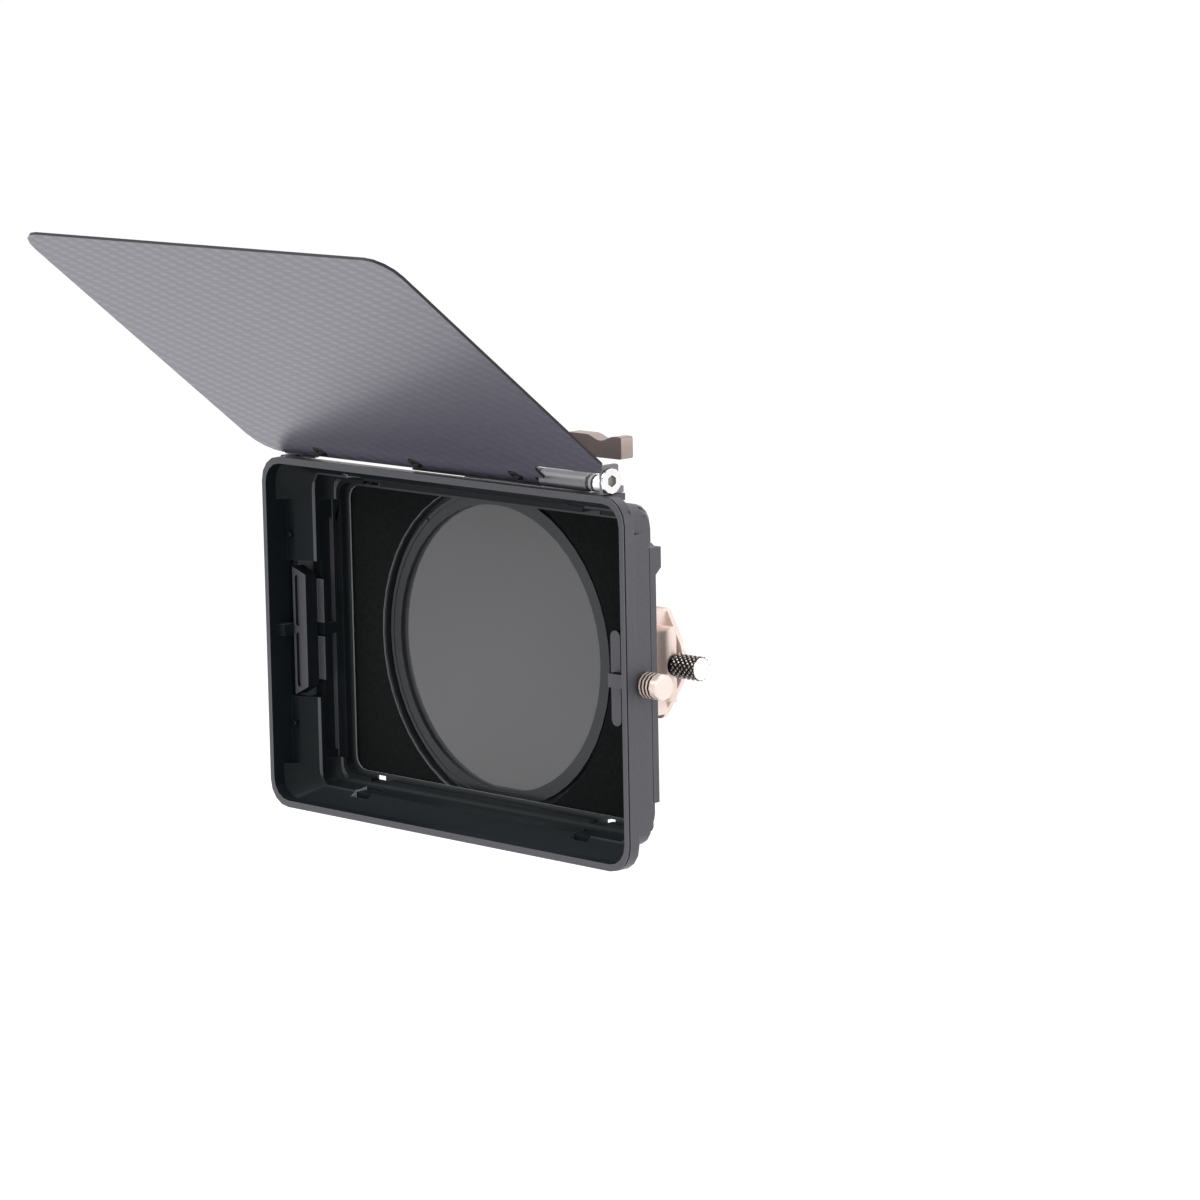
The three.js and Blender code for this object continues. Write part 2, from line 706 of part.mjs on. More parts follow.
function trayHandle() {
  const dip = [];
  for (let step = 0; step <= gripDipSteps; step += 1) {
    const share = step / gripDipSteps;
    const x = gripDipEnd + (gripDipStart - gripDipEnd) * share;
    dip.push([x, gripTop - gripDip * (1 - Math.cos(2 * Math.PI * share)) / 2]);
  }
  const grip = alongY(outline([
    [gripLeft, gripBottom, gripRound], [gripRight, gripBottom, gripRound], [gripRight, gripTop, gripRound],
    ...dip, [gripLeft, gripTop, gripRound]]), handleDepth - gripHalfThick, handleDepth + gripHalfThick);
  const footBase = trayTop + seatGap;
  const neck = alongY(outline([
    [footLeft, footBase], [footRight, footBase], [footRight, footBase + footHeight],
    [neckRight, footBase + footHeight, neckFillet], [neckRight, gripBottom + gripRound],
    [neckLeft, gripBottom + gripRound], [neckLeft, footBase + footHeight, neckFillet],
    [footLeft, footBase + footHeight]]), handleDepth - handleHalfThick, handleDepth + trayRear - handleDepth);
  const holes = handleScrewXs.map((x) => rodZ(
    handleScrewRadius + boreGap, footBase - overrun, footBase + footHeight + overrun, x, handleDepth, smallSides));
  return cut(join(grip, neck), ...holes);
}

function handleScrews() {
  const seat = trayTop + seatGap + footHeight + seatGap;
  return handleScrewXs.map((x) => cut(
    join(
      rodZ(handleHeadRadius, seat, seat + handleHeadHeight, x, handleDepth, smallSides),
      rodZ(handleScrewRadius, trayTop - handleScrewLength + boreGap, seat + handleHeadHeight / 2,
        x, handleDepth, smallSides)),
    rodZ(handleHeadRadius / 2, seat + handleHeadHeight / 2, seat + handleHeadHeight + overrun,
      x, handleDepth, 6)));
}

// Rear housing: a tray channel that is open above, and a round boss for the lens clamp
const housingStart = plateEnd + seatGap;
const housingTaperStart = 26.5;
const housingSideWall = 1.4;
const housingTaperWidth = 6.7;
const housingTopMargin = 1.2;
const housingSide = boardHalf + slideGap + housingSideWall;
const housingRearSide = housingSide - housingTaperWidth;
const housingTop = trayTop + housingTopMargin;
const stageScrewMargin = 0.9;
const stageScrewX = housingSide + stageScrewMargin;
const housingCorner = 6;
const channelEnd = trayRear + seatGap + slideGap / 2;
const housingRear = 33;
const housingBossRadius = 57.2;
const lightBoreRadius = 46.8;
const drainInner = 46;
const earThickness = 1.2;

function rearHousing() {
  const body = join(
    loft([
      [housingStart, housingSide, housingTop, housingCorner],
      [housingTaperStart, housingSide, housingTop, housingCorner],
      [housingRear, housingRearSide, housingTop, housingCorner]]),
    discY(housingBossRadius, channelEnd, housingRear, 0, 0, largeSides),
    allCorners(discY(
      stageEarRadius, housingStart, housingStart + earThickness, stageScrewX, stageScrewZ, mediumSides)));
  const floor = trayBottom + slideGap;
  const channel = box(
    -frameHalf - slideGap, frameHalf + slideGap, housingStart - overrun, channelEnd, -floor,
    housingBossRadius + overrun);
  const grooves = box(
    -boardHalf - slideGap, boardHalf + slideGap, housingStart - overrun, frameStart + slideGap / 2, -floor,
    housingBossRadius + overrun);
  const swellHalf = Math.sqrt(traySwell ** 2 - (trayBottom - trayAxisDrop) ** 2) + slideGap * 2;
  const swell = box(
    -swellHalf, swellHalf, housingStart - overrun, channelEnd, -housingBossRadius - overrun, -trayBottom + overrun);
  const drains = bothSides(box(
    drainInner, housingSide + overrun, housingStart - overrun, housingRear + overrun,
    -housingTop - overrun, -floor));
  const bore = discY(lightBoreRadius, channelEnd - overrun, housingRear + overrun, 0, 0, largeSides);
  const earHoles = allCorners(join(
    discY(stageScrewRadius + boreGap, housingStart - overrun, housingTaperStart, stageScrewX, stageScrewZ,
      smallSides),
    discY(stageHeadRadius + boreGap, housingStart + earThickness, housingRear, stageScrewX, stageScrewZ,
      mediumSides)));
  return cut(body, channel, grooves, swell, drains, bore, earHoles, collarScrewHoles(channelEnd, housingRear));
}

const stageHeadRadius = 1.4;
const stageHeadHeight = 1;

function stageScrews() {
  const seat = housingStart + earThickness;
  return cornerCopies(socketScrewY(
    stageScrewX, stageScrewZ, seat, throatEnd - stageScrewRadius, stageScrewRadius,
    stageHeadRadius, stageHeadHeight));
}

// Lens clamp: a ring on the housing, pinched by a jaw that a thumbscrew drives
const collarStart = housingRear + seatGap;
const collarRadius = 57.5;
const collarChamfer = 0.8;
const lensBoreRadius = lensFrontDiameter / 2 + boreGap / 2;
const lensStopDepth = 36;
const collarScrewCircle = 53.6;
const collarScrewRadius = 0.9;
const collarScrewTip = 39;
const collarHeadRadius = 1.8;
const collarHeadHeight = 1.1;
const collarScrewCount = 4;
const clampDepth = 39.6;
const jawHalfHeight = 8;
const jawHalfDepth = 3;

function collarScrewPlaces() {
  const places = [];
  for (let index = 0; index < collarScrewCount; index += 1) {
    const angle = (index + 1 / 2) * 2 * Math.PI / collarScrewCount;
    places.push([collarScrewCircle * Math.cos(angle), collarScrewCircle * Math.sin(angle)]);
  }
  return places;
}

function collarScrewHoles(start, end) {
  const holes = collarScrewPlaces().map(([x, z]) => join(
    discY(collarScrewRadius + boreGap, start - overrun, end + overrun, x, z, smallSides),
    discY(collarHeadRadius + boreGap, start - overrun, start + collarHeadHeight + seatGap, x, z, mediumSides)));
  return join(...holes);
}

function collarScrews() {
  const seat = channelEnd + seatGap;
  return collarScrewPlaces().map(([x, z]) => cut(
    join(
      discY(collarHeadRadius, channelEnd, seat - seatGap / 2 + collarHeadHeight - boreGap / 2, x, z, mediumSides),
      discY(collarScrewRadius, seat, collarScrewTip, x, z, smallSides)),
    discY(collarHeadRadius / 2, channelEnd - overrun, channelEnd + collarHeadHeight / 2, x, z, 6)));
}

function clampCollar() {
  const ring = revolveY([
    [lightBoreRadius, collarStart], [collarRadius - collarChamfer, collarStart],
    [collarRadius, collarStart + collarChamfer], [collarRadius, overallDepth - collarChamfer],
    [collarRadius - collarChamfer, overallDepth], [lensBoreRadius, overallDepth],
    [lensBoreRadius, lensStopDepth],
    [lightBoreRadius, lensStopDepth]], largeSides);
  const jawWindow = box(
    lensBoreRadius - overrun * 3, collarRadius + overrun, clampDepth - jawHalfDepth - slideGap,
    clampDepth + jawHalfDepth + slideGap, -jawHalfHeight - slideGap, jawHalfHeight + slideGap);
  const pilots = collarScrewPlaces().map(([x, z]) => discY(
    collarScrewRadius + boreGap, collarStart - overrun, collarScrewTip + boreGap, x, z, smallSides));
  return cut(ring, jawWindow, blockScrewHoles(), ...pilots);
}

// Clamp block: a lobed plate with an upright boss that the thumbscrew passes through
const lobeStart = 42.9;
const lobeEnd = overallDepth - seatGap;
const lobeOuter = 67.2;
const lobeHighZ = 17;
const lobeLowZ = 19;
const lobeShoulderX = 60.5;
const lobeFlatHalf = 5;
const lobeRound = 6;
const blockPlateStart = 34.6;
const blockPlateOuter = 60.6;
const blockPlateHalf = 17;
const blockBase = 52;
const bossOuter = lobeOuter;
const bossRadius = 2.5;
const bossHalf = 12.2;
const bossRound = 2.4;
const blockSkin = 1.2;
const blockScrewZ = 13.6;
const blockScrewRadius = 0.9;
const blockHeadRadius = 1.8;
const blockHeadHeight = 1;
const clampShankRadius = 1.4;

function blockScrewSeat() {
  return Math.sqrt(lensBoreRadius ** 2 - (blockScrewZ - blockHeadRadius) ** 2) + blockHeadHeight + seatGap * 2;
}

function blockScrewHoles() {
  const seat = blockScrewSeat();
  const holes = join(
    rodX(blockScrewRadius + boreGap, lensBoreRadius / 2, blockPlateOuter - blockSkin,
      clampDepth, blockScrewZ, smallSides),
    rodX(blockHeadRadius + boreGap, lensBoreRadius / 2, seat, clampDepth, blockScrewZ, mediumSides));
  return join(holes, mirrorZ(holes));
}

function blockScrews() {
  const seat = blockScrewSeat() - seatGap;
  const head = cut(
    rodX(blockHeadRadius, seat - blockHeadHeight, seat, clampDepth, blockScrewZ, mediumSides),
    rodX(blockHeadRadius / 2, seat - blockHeadHeight - overrun, seat - blockHeadHeight / 2,
      clampDepth, blockScrewZ, 6));
  const screw = join(head, rodX(
    blockScrewRadius, seat - blockHeadHeight / 3, blockPlateOuter - blockSkin - seatGap, clampDepth, blockScrewZ,
    smallSides));
  return [screw, mirrorZ(screw)];
}

function clampBlock() {
  const lobe = alongY(outline([
    [blockBase, -lobeLowZ], [lobeShoulderX - bossRound, -lobeLowZ, bossRound],
    [lobeOuter, -lobeFlatHalf, lobeRound], [lobeOuter, lobeFlatHalf, lobeRound],
    [lobeShoulderX, lobeHighZ, bossRound], [blockBase, lobeHighZ]]), lobeStart, lobeEnd);
  const plate = alongX(roundRect(
    blockPlateStart, lobeEnd, -blockPlateHalf, blockPlateHalf, bossRound), blockBase, blockPlateOuter);
  const nose = bossOuter - bossRadius;
  const upright = join(
    alongX(roundRect(
      clampDepth - bossRadius, clampDepth + bossRadius, -bossHalf, bossHalf, bossRound), blockBase, nose),
    alongX(roundRect(
      clampDepth - bossRadius, clampDepth + bossRadius, -bossHalf, bossHalf, bossRound), nose - overrun, bossOuter)
      .intersect(rodZ(bossRadius, -bossHalf - overrun, bossHalf + overrun, nose, clampDepth, mediumSides)));
  const collarSpace = discY(
    collarRadius + seatGap, blockPlateStart - overrun, overallDepth + overrun, 0, 0, largeSides);
  const shankBore = rodX(
    clampShankRadius + boreGap, blockBase - overrun, bossOuter + overrun, clampDepth, 0, mediumSides);
  const jawSpace = box(
    blockBase - overrun, collarRadius + seatGap + overrun, clampDepth - jawHalfDepth - slideGap,
    clampDepth + jawHalfDepth + slideGap, -jawHalfHeight - slideGap, jawHalfHeight + slideGap);
  return cut(join(lobe, plate, upright), collarSpace, shankBore, jawSpace, blockScrewHoles());
}

// Thumbscrew with a diamond-knurled head, and the jaw that it drives
const knobStart = lobeOuter + seatGap;
const knobLength = 12.1;
const knobEnd = knobStart + knobLength;
const knobRadius = 4.1;
const knobCollarWidth = 1.6;
const knobChamfer = 0.5;
const knurlDeep = 0.3;
const knurlCount = 18;
const jawInner = lensBoreRadius + 0.5;
const jawOuter = 56;
const jawBoreEnd = 51.2;
const clampShankTip = 51.7;

function thumbscrew() {
  const knurlEnd = knobEnd - knobChamfer;
  const head = revolveX([
    [0, knobStart], [knobRadius - knobChamfer, knobStart], [knobRadius, knobStart + knobChamfer],
    [knobRadius, knurlEnd], [knobRadius - knobChamfer, knobEnd], [0, knobEnd]], knurlCount * 2);
  const knurled = new THREE.Shape();
  for (let tooth = 0; tooth < knurlCount * 2; tooth += 1) {
    const radius = tooth % 2 ? knobRadius - knurlDeep : knobRadius + overrun;
    const angle = tooth * Math.PI / knurlCount;
    const point = [radius * Math.cos(angle), radius * Math.sin(angle)];
    if (tooth === 0) {
      knurled.moveTo(...point);
    } else {
      knurled.lineTo(...point);
    }
  }
  const bandStart = knobStart + knobCollarWidth;
  const band = alongX(knurled, bandStart, knobEnd + overrun);
  const plain = rodX(knobRadius + overrun, knobStart - overrun, bandStart + seatGap, 0, 0, mediumSides);
  const shank = rodX(clampShankRadius, clampShankTip, knobStart + knobChamfer, 0, 0, mediumSides);
  return join(head.intersect(join(band, plain)), shank).translate([0, clampDepth, 0]);
}

function clampJaw() {
  const block = box(
    jawInner - overrun, jawOuter, clampDepth - jawHalfDepth, clampDepth + jawHalfDepth,
    -jawHalfHeight, jawHalfHeight);
  const lensSpace = discY(jawInner, clampDepth - jawHalfDepth - overrun, clampDepth + jawHalfDepth + overrun,
    0, 0, largeSides);
  const bore = rodX(clampShankRadius + boreGap, jawBoreEnd, jawOuter + overrun, clampDepth, 0, mediumSides);
  return cut(block, lensSpace, bore);
}

// Right filter latch: a bar on an arm, drawn by a ridged pull pin against a spring
const latchFront = 10.3;
const filterFront = stageDepth - plateFilterThickness;
const latchRear = filterFront - seatGap;
const latchHook = 3.65;
const latchBarWidth = 4.3;
const latchBarHalf = 15.2;
const armHalf = 2.2;
const armHalfDepth = 1.7;
const springRoom = 5.8;
const armEnd = halfWidth - pocketWall - springRoom;
const knobClearance = 0.2;
const pullKnobLength = 8.4;
const knobBase = halfWidth + knobClearance;
const pullKnobEnd = knobBase + pullKnobLength;
const pullKnobRadius = 4.2;
const pullKnobBevel = 0.5;
const ridgeCount = 3;
const ridgeDeep = 0.5;
const ridgeStart = 1.2;
const ridgePitch = 1.5;
const latchBarInner = plateFilterWidth / 2 - latchHook;

function rightLatch() {
  const bar = alongY(roundRect(
    latchBarInner, latchBarInner + latchBarWidth, -latchBarHalf, latchBarHalf, latchBarWidth / 2 - seatGap / 3),
  latchFront, latchRear);
  const arm = box(
    latchBarInner + latchBarWidth / 2, armEnd, pinDepth - armHalfDepth, latchFront + armHalfDepth,
    -armHalf, armHalf);
  const clear = box(
    armEnd - ridgePitch, armEnd + overrun, pinDepth + armHalfDepth, latchFront + armHalfDepth + overrun,
    -armHalf - overrun, armHalf + overrun);
  const bore = rodX(
    pinRadius + boreGap / 2, latchBarInner + latchBarWidth, armEnd + overrun, pinDepth, 0, mediumSides);
  return cut(join(bar, arm), clear, bore);
}

function pullPin() {
  const profile = [[0, knobBase], [pullKnobRadius - pullKnobBevel, knobBase]];
  for (let ridge = 0; ridge < ridgeCount; ridge += 1) {
    const start = knobBase + ridgeStart + ridge * ridgePitch;
    profile.push(
      [pullKnobRadius, start - ridgePitch / 4], [pullKnobRadius, start + ridgePitch / 4],
      [pullKnobRadius - ridgeDeep, start + ridgePitch * 3 / 8],
      [pullKnobRadius - ridgeDeep, start + ridgePitch * 5 / 8]);
  }
  const crown = knobBase + ridgeStart + ridgeCount * ridgePitch;
  profile.push(
    [pullKnobRadius, crown - ridgePitch / 4], [pullKnobRadius, pullKnobEnd - pullKnobBevel],
    [pullKnobRadius - pullKnobBevel, pullKnobEnd], [0, pullKnobEnd]);
  const knob = revolveX(profile, mediumSides).translate([0, pinDepth, 0]);
  const shaft = rodX(
    pinRadius, latchBarInner + latchBarWidth + boreGap, knobBase + pullKnobBevel, pinDepth, 0, mediumSides);
  return join(knob, shaft);
}

// Coil springs, each an unbroken helix with flat ends left off
const springSidesAround = 5;
const springStepsPerTurn = 7;

function coilX(meanRadius, wireRadius, start, end, turns, y, z) {
  const points = [];
  const count = turns * springStepsPerTurn;
  for (let step = 0; step <= count; step += 1) {
    const angle = step / springStepsPerTurn * 2 * Math.PI;
    points.push(new THREE.Vector3(
      start + wireRadius + (end - start - wireRadius * 2) * step / count,
      y + meanRadius * Math.cos(angle), z + meanRadius * Math.sin(angle)));
  }
  const wire = new THREE.Shape();
  for (let side = 0; side < springSidesAround; side += 1) {
    const angle = side / springSidesAround * 2 * Math.PI;
    const point = [wireRadius * Math.cos(angle), wireRadius * Math.sin(angle)];
    if (side === 0) {
      wire.moveTo(...point);
    } else {
      wire.lineTo(...point);
    }
  }
  const path = new THREE.CatmullRomCurve3(points);
  return solid(new THREE.ExtrudeGeometry(wire, { steps: count, bevelEnabled: false, extrudePath: path }));
}

const pinSpringMean = 2.3;
const pinSpringWire = 0.3;
const pinSpringTurns = 3;
const springWallGap = 0.15;

function pinSpring() {
  const wall = halfWidth - pocketWall - springWallGap;
  return coilX(pinSpringMean, pinSpringWire, armEnd + springWallGap, wall, pinSpringTurns, pinDepth, 0);
}

// Left filter latch: a lightened face plate with a hooked lip, pushed in by two springs
const leftFace = 8;
const leftRear = 13;
const leftOuterInset = 4.7;
const leftInnerMargin = 1.95;
const leftOuter = halfWidth - leftOuterInset;
const leftInner = plateFilterWidth / 2 + leftInnerMargin;
const leftTopOuter = 21.1;
const leftTopInner = 18.7;
const leftBottomOuter = 22.3;
const leftBottomInner = 19;
const lipReach = 3.3;
const lipHalf = 17;
const faceSlotInset = 1.1;
const faceSlotWidth = 1.9;
const faceSlotOuter = leftOuter - faceSlotInset;
const faceSlotInner = faceSlotOuter - faceSlotWidth;
const faceSlotDeep = 1.2;
const faceSlotTop = 18.3;
const faceSlotBottom = 19.4;
const faceRibHalf = 1.1;
const leftSpringZ = 12;
const leftSpringDepth = 11;
const leftSpringMean = 1.05;
const leftSpringWire = 0.28;
const leftSpringTurns = 4;
const leftBoreRadius = 1.6;
const leftBoreDeep = 4.1;
const leftBoreEnd = leftOuter - leftBoreDeep;
const lipNotchHalf = guideRibHalf + slideGap;

function leftLatch() {
  const face = alongY(outline([
    [-leftOuter, -leftBottomOuter], [-leftInner, -leftBottomInner],
    [-leftInner, leftTopInner], [-leftOuter, leftTopOuter]]), leftFace, leftRear);
  const lip = box(
    -leftInner - lipReach / 2, -leftInner + lipReach, leftRear - lipReach / 2, latchRear, -lipHalf, lipHalf);
  const lipClear = join(
    box(-leftInner, -leftInner + lipReach + overrun, leftFace, leftRear, -lipHalf - overrun, lipHalf + overrun),
    box(-leftInner - lipReach, -leftInner + lipReach + overrun, leftRear, latchRear + overrun,
      -lipNotchHalf, lipNotchHalf));
  const slots = [[faceRibHalf, faceSlotTop], [-faceSlotBottom, -faceRibHalf]].map(([low, high]) => alongY(
    roundRect(-faceSlotOuter, -faceSlotInner, low, high, (faceSlotOuter - faceSlotInner) / 2 - seatGap / 3),
    leftFace - overrun, leftFace + faceSlotDeep));
  const bores = [leftSpringZ, -leftSpringZ].map((z) => rodX(
    leftBoreRadius, -leftOuter - overrun, -leftBoreEnd, leftSpringDepth, z, mediumSides));
  return cut(join(face, cut(lip, lipClear)), ...slots, ...bores);
}

function leftSprings() {
  const wall = halfWidth - pocketWall - springWallGap;
  const tip = leftBoreEnd + springWallGap;
  return [leftSpringZ, -leftSpringZ].map((z) => coilX(
    leftSpringMean, leftSpringWire, -wall, -tip, leftSpringTurns, leftSpringDepth, z));
}

// Top flag and its hinge: the axis runs along X, just above the hood's top edge
const barrelRadius = 2.95;
const leftPinRadius = 1.1;
const hingeDepth = 4;
const hingeHeight = halfHeight + seatGap + barrelRadius;
const flagTilt = 38.5;
const flagSideMargin = 1.4;
const flagHalfWidth = halfWidth + flagSideMargin;
const flagLength = 127.5;
const flagThickness = 1;
const flagDrop = 1.79;
const flagHeel = 0.4;
const flagFrontRadius = 9;
const flagRearRadius = 10;
const barrelInset = 29.2;
const barrelLength = 21;
const barrelStart = rightBracketOuter - barrelInset;
const barrelEnd = barrelStart + barrelLength;
const notchInset = 4.1;
const notchLobeInset = 4.4;
const notchInner = barrelStart + notchInset;
const notchLobe = flagHalfWidth - notchLobeInset;
const notchDeep = 11.2;
const notchRise = 5.5;
const notchRound = 4;
const flagScrewInset = 3.3;
const knuckleScrewInset = 5.1;
const flagScrewRadius = 0.9;
const flagHeadRadius = 2.4;
const flagHeadHeight = 0.6;
const flagHeadSink = 0.7;
const barLeft = -14;
const barTubeRadius = 2.85;
const barStripLow = 6.4;
const barStripThickness = 1.5;
const knuckleGap = 2.4;
const knuckleLength = 17.1;
const knuckleTubeLength = 6.1;
const knuckleLeft = leftPadWidth - leftBracketOuter + knuckleGap;
const knuckleRight = knuckleLeft + knuckleLength;
const knuckleTubeEnd = knuckleLeft + knuckleTubeLength;
const flagScrewShift = 4.5;
const flagScrewXs = [
  knuckleRight - knuckleScrewInset, barLeft + flagScrewShift, barrelStart - flagScrewShift * 2];
const hingeShaftRadius = 1.2;
const barrelBore = hingeShaftRadius + boreGap;
const plateBack = -flagDrop + flagThickness / 2;
const plateFront = -flagDrop - flagThickness / 2;
const flagScrewY = flagHeel - flagScrewInset;

function flagPlate() {
  const notchFront = flagHeel - notchDeep;
  const plan = outline([
    [-flagHalfWidth, flagHeel - flagLength, flagFrontRadius],
    [flagHalfWidth, flagHeel - flagLength, flagFrontRadius],
    [flagHalfWidth, notchFront - notchRise, notchRound / 2],
    [notchLobe, notchFront, notchRound],
    [notchInner, notchFront, notchRound],
    [notchInner, -barrelRadius - slideGap],
    [barrelStart - seatGap, -barrelRadius - slideGap],
    [barrelStart - seatGap, flagHeel],
    [-flagHalfWidth, flagHeel, flagRearRadius]]);
  const holes = flagScrewXs.map((x) => join(
    rodZ(flagScrewRadius + boreGap, plateFront - overrun, plateBack + overrun, x, flagScrewY, smallSides),
    rodZ(flagHeadRadius + boreGap, plateFront - overrun, plateFront + flagHeadSink, x, flagScrewY, mediumSides)));
  return cut(alongZ(plan, plateFront, plateBack), ...holes);
}

function hingeLeaf(left, right, tubeLeft, tubeRight, screws) {
  const base = plateBack + seatGap;
  const strip = box(left, right, flagHeel - barStripLow, flagHeel, base, base + barStripThickness);
  const tube = rodX(barTubeRadius, tubeLeft, tubeRight, 0, 0, mediumSides);
  const under = box(
    tubeLeft - overrun, tubeRight + overrun, -barTubeRadius - overrun, flagHeel + seatGap,
    -barTubeRadius - overrun, base);
  const holes = screws.map((x) => rodZ(
    flagScrewRadius + boreGap, base - overrun, base + barStripThickness + overrun, x, flagScrewY, smallSides));
  return cut(join(strip, cut(tube, under)), ...holes);
}

function flagBar() {
  const leaf = hingeLeaf(
    barLeft, barrelStart - seatGap, barLeft, barrelStart - seatGap, flagScrewXs.slice(1));
  const spigotEnd = barrelStart + hingeShaftRadius;
  return join(leaf, rodX(hingeShaftRadius, barrelStart - overrun, spigotEnd, 0, 0, smallSides));
}

function flagKnuckle() {
  const bore = rodX(
    leftPinRadius + boreGap, knuckleLeft - overrun, knuckleTubeEnd + overrun, 0, 0, smallSides);
  return cut(hingeLeaf(
    knuckleLeft, knuckleRight, knuckleLeft, knuckleTubeEnd, flagScrewXs.slice(0, 1)), bore);
}

function flagScrews() {
  const seat = plateFront + flagHeadSink - seatGap;
  const tip = plateBack + seatGap + barStripThickness - boreGap;
  return flagScrewXs.map((x) => cut(
    join(
      rodZ(flagHeadRadius, seat - flagHeadHeight, seat, x, flagScrewY, mediumSides),
      rodZ(flagScrewRadius, seat - flagHeadHeight / 3, tip, x, flagScrewY, smallSides)),
    rodZ(flagHeadRadius / 2, seat - flagHeadHeight - overrun, seat - flagHeadHeight / 2, x, flagScrewY, 6)));
}

function hingeBarrel() {
  const bevel = boreGap;
  return revolveX([
    [barrelBore, barrelStart], [barrelRadius - bevel, barrelStart], [barrelRadius, barrelStart + bevel],
    [barrelRadius, barrelEnd - bevel], [barrelRadius - bevel, barrelEnd], [barrelBore, barrelEnd]],
  mediumSides);
}

// Fixed side of the hinge: shaft, seal, brackets, lock screw and left pin
const sealWidth = 2.4;
const sealRadius = 2.75;
const shaftCollarStart = barrelEnd + seatGap + sealWidth + seatGap;
const shaftCollarRadius = 2.6;
const bracketWidth = 1.4;
const bracketOuter = rightBracketOuter - seatGap;
const bracketFaceX = bracketOuter - bracketWidth;
const bracketFront = 1.2;
const bracketRear = 8.1;
const bracketFootWidth = 4.4;
const bracketFootLength = 3.2;
const bracketFootHeight = 2.3;
const bracketFootInset = 1.6;
const bracketRise = 6.15;
const bracketTop = hingeHeight + bracketRise;
const bracketFootTop = halfHeight + bracketFootHeight;
const bracketFootStart = hingeDepth + sealRadius + seatGap;
const bracketRound = 0.6;
const lockScrewRise = 1.15;
const lockScrewZ = hingeHeight + lockScrewRise;
const lockHeadRadius = 4.05;
const lockHeadHeight = 1.1;
const lockShankRadius = 1.4;
const lockShankLength = 0.8;
const lockSocketRadius = 1.85;
const lockSocketDeep = 0.8;
const hingeScrewRadius = 0.9;
const hingeScrewX = bracketFaceX - bracketFootWidth + bracketFootInset;
const hingeScrewDepth = bracketFootStart + bracketFootLength / 2;
const hingeScrewLength = 2.6;
const hingeScrewTip = halfHeight - hingeScrewLength;
const hingeHeadRadius = 1.3;
const hingeHeadHeight = 1;
const hingeHeadDrop = 1.2;
const leftPinInset = 0.8;
const leftPinEnd = knuckleTubeEnd - leftPinInset;
const leftBracketFront = 5.7;
const leftBracketRear = 9;
const leftBracketRise = 3.05;
const leftBracketTop = hingeHeight + leftBracketRise;
const leftScrewX = leftBracketOuter - leftPadWidth / 2;
const leftScrewDepth = 7.4;

function hingeScrewHoles() {
  return join(
    rodZ(hingeScrewRadius + boreGap, hingeScrewTip - boreGap, halfHeight + overrun,
      hingeScrewX, hingeScrewDepth, smallSides),
    rodZ(hingeScrewRadius + boreGap, hingeScrewTip - boreGap, halfHeight + overrun,
      -leftScrewX, leftScrewDepth, smallSides));
}

function hingeShaft() {
  const collarEnd = bracketFaceX - seatGap;
  const innerEnd = barrelStart + hingeShaftRadius + seatGap;
  const shaft = join(
    rodX(hingeShaftRadius, innerEnd, collarEnd, 0, 0, smallSides),
    rodX(shaftCollarRadius, shaftCollarStart, collarEnd, 0, 0, mediumSides));
  return shaft.translate([0, hingeDepth, hingeHeight]);
}

function hingeSeal() {
  const start = barrelEnd + seatGap;
  return revolveX([
    [barrelBore, start], [sealRadius, start], [sealRadius, start + sealWidth],
    [barrelBore, start + sealWidth]], mediumSides).translate([0, hingeDepth, hingeHeight]);
}

function rightBracket() {
  const base = halfHeight + seatGap;
  const block = alongX(outline([
    [bracketFront, base], [bracketRear, base], [bracketRear, bracketTop, bracketRound],
    [bracketFront, bracketTop, bracketRound]]), bracketFaceX, bracketOuter);
  const foot = box(
    bracketFaceX - bracketFootWidth, bracketOuter, bracketFootStart, bracketFootStart + bracketFootLength,
    base, bracketFootTop);
  const lockBore = rodX(
    lockShankRadius + boreGap, bracketOuter - lockShankLength - boreGap, bracketOuter + overrun,
    hingeDepth, lockScrewZ, mediumSides);
  const screwBore = rodZ(
    hingeScrewRadius + boreGap, base - overrun, bracketFootTop + overrun,
    hingeScrewX, hingeScrewDepth, smallSides);
  return cut(join(block, foot), lockBore, screwBore);
}

function lockScrew() {
  const faceX = bracketOuter + seatGap;
  const head = cut(
    rodX(lockHeadRadius, faceX, faceX + lockHeadHeight, hingeDepth, lockScrewZ, mediumSides),
    rodX(lockSocketRadius, faceX + lockHeadHeight - lockSocketDeep, faceX + lockHeadHeight + overrun,
      hingeDepth, lockScrewZ, 6));
  return join(head, rodX(
    lockShankRadius, bracketOuter - lockShankLength, faceX + seatGap / 2, hingeDepth, lockScrewZ, mediumSides));
}

function leftBracket() {
  const base = halfHeight + seatGap;
  const post = alongX(outline([
    [leftBracketFront, base], [leftBracketRear, base], [leftBracketRear, leftBracketTop, bracketRound],
    [hingeDepth, leftBracketTop, bracketRound], [hingeDepth, hingeHeight],
    [leftBracketFront, hingeHeight]]), -leftBracketOuter, leftPadWidth - leftBracketOuter);
  const saddle = rodX(
    leftPinRadius + boreGap, -leftBracketOuter - overrun, knuckleLeft, hingeDepth, hingeHeight, mediumSides);
  const screwBore = join(
    rodZ(hingeScrewRadius + boreGap, base - overrun, leftBracketTop + overrun,
      -leftScrewX, leftScrewDepth, smallSides),
    rodZ(hingeHeadRadius + boreGap, leftBracketTop - hingeHeadDrop, leftBracketTop + overrun,
      -leftScrewX, leftScrewDepth, smallSides));
  return cut(post, saddle, screwBore);
}

function leftHingePin() {
  return rodX(leftPinRadius, -leftBracketOuter, leftPinEnd, hingeDepth, hingeHeight, smallSides);
}

